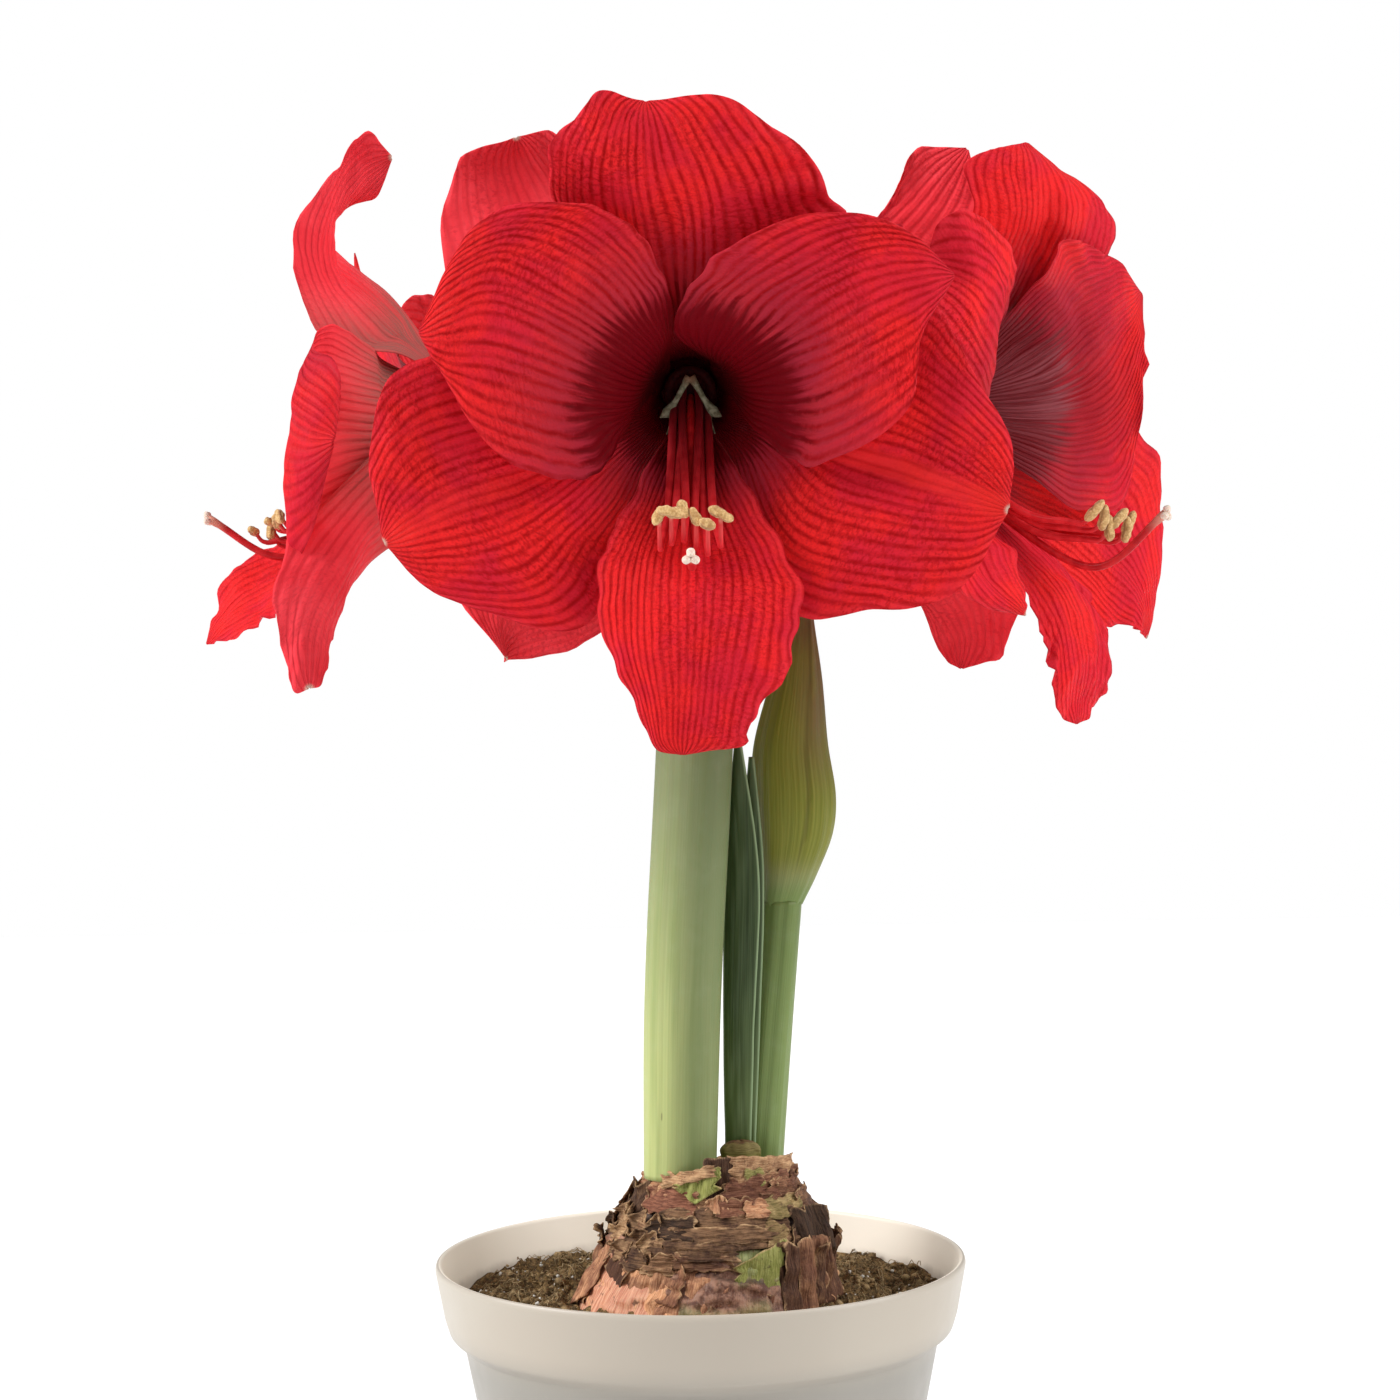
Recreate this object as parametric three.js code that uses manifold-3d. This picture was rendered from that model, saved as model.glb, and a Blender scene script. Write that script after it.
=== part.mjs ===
// A flowering amaryllis in a plastic pot: one thick scape with four open flowers, a second scape
// with a closed bud, two young leaves, a bulb in dry tunics, potting soil and the pot.
// Millimetres, +Z up. The origin is the centre of the pot's base.
// Seen from the front (from -Y) the flowers are named front, right, left and back.

import * as THREE from 'three';
import { mergeVertices } from 'three/addons/utils/BufferGeometryUtils.js';
import Module from 'manifold-3d';

const wasm = await Module();
wasm.setup();

// ---- driving dimensions ----

const seatGap = 0.3; // clearance between pieces that touch
const potHeight = 150;
const rimRadius = 87.5;
const baseRadius = 53;
const wallThickness = 2.2;
const collarHeight = 26; // the thicker band under the rim
const shoulderRadius = 78; // outer wall just under the collar
const potSides = 32;
const soilLevel = 136;
const soilRoughness = 1.6; // height of the lumps in the soil's surface

const bulbFootLevel = 92;
const bulbRibs = 0.7; // how far the bulb's skin swells and sinks round it
const neckLevel = 177; // flat top of the bulb's neck, where scapes and leaves come out
const scapeTopLevel = 405;
const pedicelFoot = scapeTopLevel + seatGap;
const pedicelRadius = 4.1;
const tubeMouth = 10; // radius of the floral tube where the tepals leave it

const tunicThickness = 0.8;
const tepalThickness = 0.9;
const tubeBack = -16; // where the tepals part from the floral tube, behind the throat
const whorls = {
  outer: { baseRadius: 9.4, throatRadius: 15, baseSpread: 26, throatSpread: 34 },
  inner: { baseRadius: 7.5, throatRadius: 12.4, baseSpread: 26, throatSpread: 30 },
};
const filamentRadius = 1.1;
const styleRadius = 1.2;

// ---- colours ----

const petalRed = 0xc8182a;
const tubeGreen = 0x8f9a4e;
const stalkGreen = 0x8fae73;
const budGreen = 0x8a9a48;
const leafGreen = 0x3f5e48;
const tunicBrown = 0x6b4432;
const bulbPink = 0xb98468;
const soilBrown = 0x35271f;
const potCream = 0xe9dfd0;
const pollenYellow = 0xe6c676;
const bractStraw = 0xb79a6b;

// ---- small tools ----

const model = new THREE.Group();
const vec = (x, y, z) => new THREE.Vector3(x, y, z);
const radians = THREE.MathUtils.degToRad;
const smooth = (points) => new THREE.CatmullRomCurve3(points, false, 'catmullrom', 0.5);

function add(name, geometry, color, roughness = 0.6) {
  const material = new THREE.MeshStandardMaterial({ color, roughness, metalness: 0 });
  const mesh = new THREE.Mesh(geometry, material);
  mesh.name = name;
  model.add(mesh);
  return mesh;
}

function indexed(points, triangles) {
  const geometry = new THREE.BufferGeometry();
  const flat = points.flatMap((p) => [p.x, p.y, p.z]);
  geometry.setAttribute('position', new THREE.Float32BufferAttribute(flat, 3));
  geometry.setIndex(triangles);
  return geometry;
}

// A closed sheet: surface(u, v) on a grid, thickened to both sides and closed round its rim.
function sheet(surface, along, across, thickness) {
  const step = 1e-3;
  const front = [];
  const back = [];
  for (let i = 0; i <= along; i++) {
    for (let j = 0; j <= across; j++) {
      const u = i / along;
      const v = (2 * j) / across - 1;
      const du = surface(Math.min(u + step, 1), v).sub(surface(Math.max(u - step, 0), v));
      const dv = surface(u, v + step).sub(surface(u, v - step));
      const normal = du.cross(dv).normalize().multiplyScalar(thickness / 2);
      front.push(surface(u, v).add(normal));
      back.push(surface(u, v).sub(normal));
    }
  }
  const row = across + 1;
  const other = front.length;
  const triangles = [];
  const wall = (a, b) => triangles.push(a, a + other, b, b, a + other, b + other);
  for (let i = 0; i < along; i++) {
    for (let j = 0; j < across; j++) {
      const a = i * row + j;
      const b = a + row;
      triangles.push(a, b, a + 1, b, b + 1, a + 1);
      triangles.push(a + other, a + 1 + other, b + other, b + other, a + 1 + other, b + 1 + other);
    }
    wall(i * row, (i + 1) * row);
    wall((i + 1) * row + across, i * row + across);
  }
  for (let j = 0; j < across; j++) {
    wall(j + 1, j);
    wall(along * row + j, along * row + j + 1);
  }
  return indexed([...front, ...back], triangles);
}

// A closed tube through rings of equal point count, each running counter-clockwise seen from
// the far end, with a fan over both ends.
function loft(rings) {
  const sides = rings[0].length;
  const centre = (ring) => ring.reduce((sum, p) => sum.add(p), vec(0, 0, 0)).divideScalar(sides);
  const points = [...rings.flat(), centre(rings[0]), centre(rings.at(-1))];
  const start = points.length - 2;
  const end = points.length - 1;
  const triangles = [];
  for (let j = 0; j < sides; j++) {
    const k = (j + 1) % sides;
    for (let i = 0; i < rings.length - 1; i++) {
      const a = i * sides;
      const b = a + sides;
      triangles.push(a + j, a + k, b + j, b + j, a + k, b + k);
    }
    const last = (rings.length - 1) * sides;
    triangles.push(start, k, j, end, last + j, last + k);
  }
  return indexed(points, triangles);
}

// A stalk of changing radius: its middle line and its radii are both smooth curves. An upright
// stalk has level rings, and any other has rings square to its middle line.
function stalk(path, radii, { sides, steps, upright }) {
  const line = smooth(path);
  const size = smooth(radii.map((r, i) => vec(r, i, 0)));
  const frames = line.computeFrenetFrames(steps, false);
  const rings = [];
  for (let i = 0; i <= steps; i++) {
    const t = i / steps;
    const middle = line.getPointAt(t);
    const radius = size.getPoint(t).x;
    const first = upright ? vec(1, 0, 0) : frames.normals[i];
    const second = upright ? vec(0, 1, 0) : frames.binormals[i];
    const ring = Array.from({ length: sides }, (_, j) => {
      const angle = (2 * Math.PI * j) / sides;
      const point = middle.clone().addScaledVector(first, Math.cos(angle) * radius);
      return point.addScaledVector(second, Math.sin(angle) * radius);
    });
    rings.push(ring);
  }
  return loft(rings);
}

function wire(path, radius, sides, steps) {
  const section = new THREE.Shape(
    Array.from({ length: sides }, (_, i) => {
      const angle = (2 * Math.PI * i) / sides;
      return new THREE.Vector2(radius * Math.cos(angle), radius * Math.sin(angle));
    }),
  );
  const settings = { steps, extrudePath: smooth(path), bevelEnabled: false };
  return new THREE.ExtrudeGeometry(section, settings);
}

function toSolid(geometry) {
  const bare = geometry.clone();
  bare.deleteAttribute('normal');
  bare.deleteAttribute('uv');
  const merged = mergeVertices(bare, 1e-4);
  return new wasm.Manifold(
    new wasm.Mesh({
      numProp: 3,
      vertProperties: new Float32Array(merged.attributes.position.array),
      triVerts: new Uint32Array(merged.index.array),
    }),
  );
}

function fromSolid(solid) {
  const mesh = solid.getMesh();
  const geometry = new THREE.BufferGeometry();
  const position = new THREE.Float32BufferAttribute(mesh.vertProperties, 3);
  geometry.setAttribute('position', position);
  geometry.setIndex([...mesh.triVerts]);
  return geometry;
}

function lathe(outline, segments) {
  const profile = outline.map(([radius, level]) => new THREE.Vector2(radius, level));
  return new THREE.LatheGeometry(profile, segments).rotateX(Math.PI / 2);
}

// ---- pot and soil ----

const innerSlope = (shoulderRadius - baseRadius) / (potHeight - collarHeight);
const floorTop = wallThickness + 0.4;

function innerRadius(level) {
  return baseRadius - wallThickness + innerSlope * level;
}

function pot() {
  const collarFoot = potHeight - collarHeight;
  const outline = [
    [0, 0],
    [baseRadius, 0],
    [shoulderRadius, collarFoot],
    [rimRadius - 4.9, collarFoot + 3.5],
    [rimRadius - 3.2, collarFoot + 9],
    [rimRadius - 0.3, potHeight - 1.6],
    [rimRadius - 0.9, potHeight],
    [rimRadius - 2.4, potHeight - 0.4],
    [rimRadius - 5.2, collarFoot + 9],
    [innerRadius(collarFoot), collarFoot],
    [innerRadius(floorTop), floorTop],
    [0, floorTop],
  ];
  return lathe(outline, potSides);
}

function soilBody() {
  const wall = (level) => innerRadius(level) - seatGap;
  const foot = floorTop + seatGap;
  const outline = [
    [0, foot],
    [wall(foot), foot],
    [wall(potHeight - collarHeight), potHeight - collarHeight],
    [rimRadius - 5.9, potHeight - collarHeight + 8.5],
    [rimRadius - 9, soilLevel + 0.6],
    [66, soilLevel - 0.4],
    [52, soilLevel + 0.8],
    [0, soilLevel],
  ];
  const geometry = lathe(outline, potSides);
  const position = geometry.attributes.position;
  for (let i = 0; i < position.count; i++) {
    const x = position.getX(i);
    const y = position.getY(i);
    const z = position.getZ(i);
    const distance = Math.hypot(x, y);
    if (z > soilLevel - 2 && distance > 1) {
      const lumps = Math.sin(x * 0.21 + 1.1) * Math.cos(y * 0.17) + 0.6 * Math.sin(y * 0.33 + x * 0.12);
      position.setZ(i, z + lumps * soilRoughness * 0.6);
    }
  }
  return geometry;
}

// ---- bulb ----

// Each ring of the bulb: level, radius, and how far its middle stands to the right of the pot's.
const bulbRings = [
  { level: bulbFootLevel, radius: 16, shift: 1 },
  { level: 97, radius: 29, shift: 1 },
  { level: 108, radius: 38, shift: 1 },
  { level: 122, radius: 41.5, shift: 1.5 },
  { level: 136, radius: 41.5, shift: 2 },
  { level: 148, radius: 37.5, shift: 4 },
  { level: 158, radius: 34, shift: 5.5 },
  { level: 167, radius: 29, shift: 6 },
  { level: 173, radius: 25, shift: 6 },
  { level: neckLevel, radius: 24, shift: 6 },
];
const bulbLine = new THREE.CatmullRomCurve3(
  bulbRings.map((ring) => vec(ring.radius, ring.shift, ring.level)),
  false,
  'catmullrom',
  0.5,
);

function bulbAt(level) {
  let low = 0;
  let high = 1;
  for (let i = 0; i < 24; i++) {
    const middle = (low + high) / 2;
    if (bulbLine.getPoint(middle).z < level) low = middle;
    else high = middle;
  }
  return bulbLine.getPoint(low);
}

function bulb(grow) {
  const sides = 20;
  const rings = bulbRings.map(({ level, radius, shift }) => {
    const height = level === bulbFootLevel ? level - grow : level;
    return Array.from({ length: sides }, (_, j) => {
      const angle = (2 * Math.PI * j) / sides;
      const reach = radius + grow + bulbRibs * Math.sin(5 * angle + level * 0.1);
      return vec(shift + reach * Math.cos(angle), reach * Math.sin(angle), height);
    });
  });
  return loft(rings);
}

// Dry tunics: curved papery sheets round the bulb. Angles run counter-clockwise seen from
// above, from +X; the sheet stands off the bulb at its foot and at its torn upper edge.
const tunics = {
  tunic_front_left: { from: 205, to: 262, foot: 139, top: 164, standFoot: 1.5, standTop: 1.7 },
  tunic_front_right: { from: 268, to: 318, foot: 139, top: 165, standFoot: 1.5, standTop: 1.8 },
  tunic_right_flap: { from: 324, to: 372, foot: 139, top: 166, standFoot: 1.1, standTop: 4.5 },
  tunic_back_right: { from: 18, to: 84, foot: 139, top: 162, standFoot: 1.5, standTop: 2.2 },
  tunic_back_left: { from: 90, to: 146, foot: 139, top: 165, standFoot: 1.5, standTop: 1.8 },
  tunic_left: { from: 152, to: 199, foot: 139, top: 160, standFoot: 1, standTop: 3 },
  tunic_neck_front: { from: 215, to: 330, foot: 167, top: 176.6, standFoot: 1.7, standTop: 2.4 },
  tunic_neck_back: { from: 20, to: 165, foot: 167, top: 176.6, standFoot: 1.7, standTop: 2.4 },
};

function tunic({ from, to, foot, top, standFoot, standTop }) {
  const surface = (u, v) => {
    const level = THREE.MathUtils.lerp(foot, top, u);
    const angle = radians(THREE.MathUtils.lerp(from, to, (v + 1) / 2));
    const ring = bulbAt(Math.min(level, neckLevel));
    const reach = ring.x + THREE.MathUtils.lerp(standFoot, standTop, u) + 0.2;
    return vec(ring.y + reach * Math.cos(angle), reach * Math.sin(angle), level);
  };
  return sheet(surface, 3, 6, tunicThickness);
}

// ---- scapes, bud, leaves and bracts ----

const mainScapePath = [
  vec(-6.3, -8, neckLevel + seatGap),
  vec(-4.2, -8, 240),
  vec(0.6, -7.5, 317),
  vec(5, -2, scapeTopLevel),
];
const mainScapeRadii = [11.7, 12.4, 12.6, 12.2];
const budScapePath = [
  vec(19.6, 10, neckLevel + seatGap),
  vec(23.2, 10, 215),
  vec(28.4, 10, 265.7),
];
const budScapeRadii = [8.1, 7.7, 7.2];
const budPath = [
  vec(28.6, 10, 266),
  vec(31, 10, 275),
  vec(33.3, 10, 288),
  vec(33.8, 10, 301),
  vec(33.2, 10, 318),
  vec(35.2, 10, 338),
  vec(37, 10, 358),
  vec(38.5, 10, 372),
];
const budRadii = [7.3, 9.6, 12.3, 12.9, 11.4, 8.2, 4, 0.8];

// A leaf or bract: its middle line, half widths along it, and the direction across it.
function blade({ line, halfWidths, turn, keel }, thickness) {
  const middle = smooth(line.map(([x, y, z]) => vec(x, y, z)));
  const width = smooth(halfWidths.map((w, i) => vec(w, i, 0)));
  const across = vec(Math.cos(radians(turn)), Math.sin(radians(turn)), 0);
  const outward = vec(-across.y, across.x, 0);
  const surface = (u, v) => {
    const point = middle.getPoint(u);
    point.addScaledVector(across, v * width.getPoint(u).x);
    return point.addScaledVector(outward, keel * v * v);
  };
  return sheet(surface, 8, 4, thickness);
}

const blades = {
  leaf_front: {
    line: [[12.6, -3.4, neckLevel + seatGap], [13.6, -3.4, 225], [15.4, -3.2, 275], [14.6, -3, 322]],
    halfWidths: [4.2, 5.2, 5.8, 0.9],
    turn: -14,
    keel: 0.8,
  },
  leaf_back: {
    line: [[15, 0.4, neckLevel + seatGap], [16.6, -0.1, 225], [18.6, -0.2, 275], [19.2, 0, 314]],
    halfWidths: [3.2, 4.2, 4.2, 0.9],
    turn: -12,
    keel: 0.6,
  },
  leaf_stub: {
    line: [[12.8, -7, neckLevel + seatGap], [12.9, -7.1, 181], [13, -7.4, 184], [13, -7.8, 187]],
    halfWidths: [5.4, 5.2, 4.8, 4.2],
    turn: 6,
    keel: 1.6,
  },
  bract_left: {
    line: [[-8.3, -4, 402], [-11.6, -4.5, 392], [-12.9, -5, 372], [-13.9, -5, 348]],
    halfWidths: [5.5, 7.5, 5.5, 1],
    turn: 258,
    keel: -1.2,
  },
  bract_right: {
    line: [[17.8, -3, 402], [20.2, -3.4, 392], [21, -4, 374], [20.6, -4.2, 356]],
    halfWidths: [5, 6.5, 5, 1],
    turn: 96,
    keel: -1.2,
  },
};

// ---- flowers ----

// Each flower has its throat, the way it faces (turn, in degrees from facing front towards
// facing right), how far it nods, its pedicel, and six tepals. A tepal stands at an angle round
// the throat, counter-clockwise seen facing the flower from 3 o'clock, and is hung on three
// rails: its midrib and its counter-clockwise and clockwise margins. Rail points are
// [right, up, forward] of the throat, seen facing the flower. The midrib ends in the tip,
// and both margins end there too.
const flowers = {
  front: {
    throat: [1, -48, 428], turn: 0, nod: 14,
    pedicel: [[5, -8.6, pedicelFoot], [5, -8.6, 410], [3.5, -10.5, 424]],
    tepals: {
      top: {
        at: 90, whorl: 'outer',
        mid: [[-1.5, 22, 17], [-4.5, 44, 32], [-7.5, 67, 45], [-10, 83, 48], [-11.5, 91, 44]],
        ccw: [[-15, 25, 9], [-34.5, 52, 27], [-40, 73.5, 41], [-27, 92, 45]],
        cw: [[16, 27.5, 16], [44.5, 49, 31], [37.5, 71, 41], [14, 91, 45]],
      },
      upper_left: {
        at: 150, whorl: 'inner',
        mid: [[-15, 11.5, 25], [-35, 27, 43], [-56, 38, 53], [-69.5, 33.5, 54], [-79, 26.5, 50]],
        ccw: [[-19, -5.5, 24], [-30, -19, 37], [-53, -13, 49], [-69.5, 8, 52]],
        cw: [[-5, 32, 32], [-14.5, 54, 47], [-34, 63, 52], [-60, 58, 52]],
      },
      upper_right: {
        at: 30, whorl: 'inner',
        mid: [[16.5, 12.5, 26], [37, 27, 46], [55.5, 37.5, 54], [68.5, 40.5, 54], [77.5, 40.5, 50]],
        ccw: [[-4.5, 24.5, 32], [7, 45.5, 47], [32.5, 58.5, 53], [59, 56, 54]],
        cw: [[20, -8, 25], [37, -16, 41], [63, 1, 52], [67.5, 22, 53]],
      },
      lower_left: {
        at: 207, whorl: 'outer',
        mid: [[-21.5, -8.5, 17], [-45.5, -17.5, 36], [-69, -25, 45], [-83.5, -31.5, 46], [-93, -37.5, 41]],
        ccw: [[-13, -21, 14], [-23, -46, 31], [-36, -65, 41], [-76, -53.5, 43]],
        cw: [[-30.5, 5.5, 14], [-61.5, 19.5, 27], [-86.5, 14, 38], [-95.5, -9, 43]],
      },
      lower_right: {
        at: 333, whorl: 'outer',
        mid: [[23, -7, 17], [45.5, -13, 36], [68, -19.5, 45], [83, -25, 46], [95, -30, 43]],
        ccw: [[30.5, 9, 14], [69, 31.5, 32], [82, 14.5, 43], [95.5, -10.5, 42]],
        cw: [[10.5, -20, 14], [23, -58.5, 33], [49, -62, 41], [80, -54, 43]],
      },
      bottom: {
        at: 270, whorl: 'inner',
        mid: [[-0.5, -31, 27], [-1.5, -44, 50], [-2.5, -65, 59], [-3, -83, 60], [-4, -101, 56]],
        ccw: [[14, -19.5, 26], [31, -48.5, 46], [28.5, -69.5, 54], [16, -91.5, 57]],
        cw: [[-15.5, -21.5, 26], [-28, -46, 46], [-25.5, -68.5, 54], [-15, -90, 57]],
      },
    },
    anthers: [[-10, -27, 66], [-6, -25.5, 67], [-2, -25, 65], [1.5, -27.5, 66], [5, -29, 68], [9, -27, 65]],
    styleBend: [0, -41, 62],
    stigma: [-0.4, -35, 84],
  },
  right: {
    throat: [78, -2, 424], turn: 56, nod: 8,
    pedicel: [[11.6, -1.6, pedicelFoot], [11.6, -1.6, 410], [20, 6, 422], [38, 14, 430]],
    tepals: {
      top: {
        at: 90, whorl: 'outer',
        mid: [[1, 31, 22], [-3, 60, 38], [-14, 78, 43], [-20, 88, 37]],
        ccw: [[-18, 29, 16], [-38, 60, 31], [-46, 78, 32]],
        cw: [[16, 32, 20], [25, 60, 43], [34, 76, 43]],
      },
      upper_left: {
        at: 150, whorl: 'inner',
        mid: [[-19, 14, 26], [-42, 28, 46], [-64, 38, 49], [-78.5, 42.5, 38]],
        ccw: [[-18, -6, 24], [-42, 4, 44], [-72, 22, 44.5]],
        cw: [[-9, 30, 28], [-44, 52, 49], [-77, 59, 46]],
      },
      upper_right: {
        at: 30, whorl: 'inner',
        mid: [[22, 11, 26], [26, 21, 42], [15.5, 28, 50], [34.5, 40.5, 50], [57, 50, 46]],
        ccw: [[9, 28, 28], [0, 42, 45], [3, 53.5, 48], [30, 54, 49]],
        cw: [[26, -14, 26], [46, -24, 37], [67.5, -17, 44], [56.5, 19.5, 50]],
      },
      lower_right: {
        at: 333, whorl: 'outer',
        mid: [[29, -17, 18], [55, -27, 35], [64.5, -39.5, 46], [76, -52.5, 50], [83, -66, 50]],
        ccw: [[38, 2, 14], [93, 6, 32], [96, -16.5, 44], [91.5, -48.5, 49]],
        cw: [[16, -35, 22], [34.5, -51.5, 38], [51, -61, 46], [70, -62, 50]],
      },
      bottom: {
        at: 270, whorl: 'inner',
        mid: [[2, -30, 28], [4, -47, 52], [3, -69, 64], [10, -91, 62]],
        ccw: [[18, -28, 28], [24, -52, 54], [26, -74, 64]],
        cw: [[-14, -28, 26], [-13, -51, 50], [-12, -74, 60]],
      },
      lower_left: {
        at: 207, whorl: 'outer',
        mid: [[-24, -18, 18], [-36, -32, 38], [-41, -44, 50], [-36, -53, 56], [-24, -59, 57]],
        ccw: [[-13, -36, 22], [-16.5, -36, 42], [-20.5, -44, 50], [-21, -53, 54]],
        cw: [[-32, -2, 14], [-58, -22, 34], [-60, -46, 46], [-44, -57, 52]],
      },
    },
    anthers: [[-6, -25, 66], [-3, -26.5, 69], [0, -31, 70], [3, -27, 72], [6, -29, 73], [8.5, -26, 72]],
    styleBend: [0, -42, 66],
    stigma: [0, -23, 89],
  },
  left: {
    throat: [-72, 4, 424], turn: -97, nod: 8,
    pedicel: [[-1.6, -2, pedicelFoot], [-1.6, -2, 410], [-9, -1, 421], [-25, 0, 428.5]],
    tepals: {
      top: {
        at: 90, whorl: 'outer',
        mid: [[2, 31, 17], [5, 36, 19], [3, 58, 32.5], [0, 76, 34.5], [-4, 89, 24.5], [-5, 95, 13]],
        ccw: [[-19, 32, 13], [-28, 55, 27], [-24, 76, 46], [-14, 84.5, 37.5], [-8, 83.5, 22]],
        cw: [[20, 25, 15], [24, 33.5, 39], [16, 69.5, 46], [4, 93, 29.5], [0, 103.5, 20]],
      },
      upper_right: {
        at: 30, whorl: 'inner',
        mid: [[24, 8, 20], [32, 8.5, 24.5], [44, 11.5, 39.5], [54, 3.5, 46.5], [62, -3, 39.5], [65, -5, 30]],
        ccw: [[15, 24, 21], [24, 29, 23.5], [34, 36, 34.5], [46, 28.5, 37.5], [56, 17, 27]],
        cw: [[27, -12, 20], [32, -14.5, 30.5], [42, -22.5, 48], [50, -33, 54], [58, -25.5, 44]],
      },
      lower_right: {
        at: 333, whorl: 'outer',
        mid: [[27, -16, 15], [36, -26.5, 28], [46, -42.5, 42], [52, -59, 51.5], [54, -71, 53], [52, -75, 53]],
        ccw: [[34, 0, 12], [40, -16.5, 33.5], [50, -30.5, 49], [54, -52, 57.5], [51, -78.5, 59]],
        cw: [[14, -34, 19], [22, -37, 30], [32, -49, 40], [42, -64.5, 46], [47, -78, 50]],
      },
      bottom: {
        at: 270, whorl: 'inner',
        mid: [[0, -28, 26], [0, -31.5, 46.5], [0, -38.5, 70], [0, -44, 85], [0, -51.5, 95], [0, -56.5, 100.5]],
        ccw: [[15, -24, 26], [20, -41.5, 41], [20, -50.5, 64.5], [14, -56.5, 82.5], [6, -57, 93]],
        cw: [[-15, -23, 27], [-20, -21, 50], [-22, -27, 80.5], [-16, -33.5, 93], [-8, -46.5, 99]],
      },
      lower_left: {
        at: 207, whorl: 'outer',
        mid: [[-27, -14, 15], [-46, -14, 31], [-60, -13, 44], [-72, -14, 52], [-80, -18, 56]],
        ccw: [[-14, -34, 18], [-38, -31, 32], [-56, -28, 43], [-70, -23, 51]],
        cw: [[-35, 4, 12], [-54, 14, 35], [-66, 7, 52], [-76, -5, 57]],
      },
      upper_left: {
        at: 150, whorl: 'inner',
        mid: [[-24, 15, 21], [-38, 35, 30], [-48, 48, 37], [-54, 59, 41], [-57, 68, 43], [-58, 77, 43]],
        ccw: [[-27, -7, 21], [-49, 20, 36], [-60, 41, 45], [-63, 58, 48], [-60, 69, 46]],
        cw: [[-12, 28, 22], [-28, 41, 25], [-41, 50, 29], [-50, 58, 35], [-56, 67, 41]],
      },
    },
    anthers: [[-8, -24, 74], [-4.5, -22, 79], [-1.5, -23, 72], [2, -20, 71], [5, -21, 68], [8, -20, 66]],
    styleBend: [0, -32, 68],
    stigma: [0, -15, 93],
  },
  back: {
    throat: [6, 44, 438], turn: 178, nod: 4,
    pedicel: [[5, 5, pedicelFoot], [5, 5, 410], [5.3, 7, 424]],
    tepals: {
      upper_right: {
        at: 60, whorl: 'outer',
        mid: [[23, 31, 14], [50, 62, 18], [63, 85, 19], [66, 96, 9]],
        ccw: [[-1, 36, 14], [30, 80, 18], [51, 98, 15]],
        cw: [[37, 13, 14], [88, 40, 18], [90, 86, 17]],
      },
      right: {
        at: 0, whorl: 'inner',
        mid: [[34, 0, 21], [80, 11, 29], [102, 22, 29], [112, 31, 20]],
        ccw: [[26, 19, 22], [80, 36, 30], [104, 44, 27]],
        cw: [[26, -19, 22], [80, -19, 29], [106, 2, 29]],
      },
      upper_left: {
        at: 120, whorl: 'inner',
        mid: [[-19, 28, 21], [-53, 52, 30], [-79, 76, 29], [-94, 91.5, 20]],
        ccw: [[-30, 12, 21], [-80, 34, 30], [-99, 66, 25]],
        cw: [[-2, 32, 23], [-64, 57.5, 30], [-69, 79, 29], [-79, 94, 26]],
      },
      left: {
        at: 180, whorl: 'outer',
        mid: [[-36, 0, 14], [-70, -3, 19], [-90, -8, 19], [-99, -14, 12]],
        ccw: [[-29, -22, 14], [-64, -32, 19], [-90, -33, 17]],
        cw: [[-29, 22, 14], [-66, 24, 19], [-90, 14, 17]],
      },
      lower_left: {
        at: 240, whorl: 'inner',
        mid: [[-19, -27, 21], [-53.5, -45, 30], [-80, -65.5, 30], [-89, -80.5, 28], [-88, -94.5, 21]],
        ccw: [[-4, -31, 23], [-41, -48.5, 30], [-70, -64, 29], [-78.5, -83.5, 26]],
        cw: [[-30, -12, 21], [-79, -22.5, 30], [-110, -49.5, 30], [-109, -80.5, 26]],
      },
      lower_right: {
        at: 300, whorl: 'outer',
        mid: [[19, -32, 14], [51, -60, 19], [74, -71, 20], [71, -89.5, 12]],
        ccw: [[35, -14, 14], [74, -36, 19], [95, -53, 18]],
        cw: [[2, -38, 14], [38, -80, 19], [70, -89, 18]],
      },
    },
    anthers: [[-8, -26, 66], [-5, -25, 68], [-2, -24, 65], [2, -27, 67], [5, -28, 69], [8, -26, 65]],
    styleBend: [0, -40, 64],
    stigma: [0, -30, 86],
  },
};

const seenFrom = {};
for (const [name, flower] of Object.entries(flowers)) {
  const turn = radians(flower.turn);
  const level = vec(Math.sin(turn), -Math.cos(turn), 0);
  const right = vec(0, 0, 1).cross(level);
  const forward = level.clone().multiplyScalar(Math.cos(radians(flower.nod)));
  forward.z = -Math.sin(radians(flower.nod));
  const up = forward.clone().cross(right);
  const throat = vec(...flower.throat);
  seenFrom[name] = ([x, y, z]) => {
    const point = throat.clone().addScaledVector(right, x);
    return point.addScaledVector(up, y).addScaledVector(forward, z);
  };
}

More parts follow.
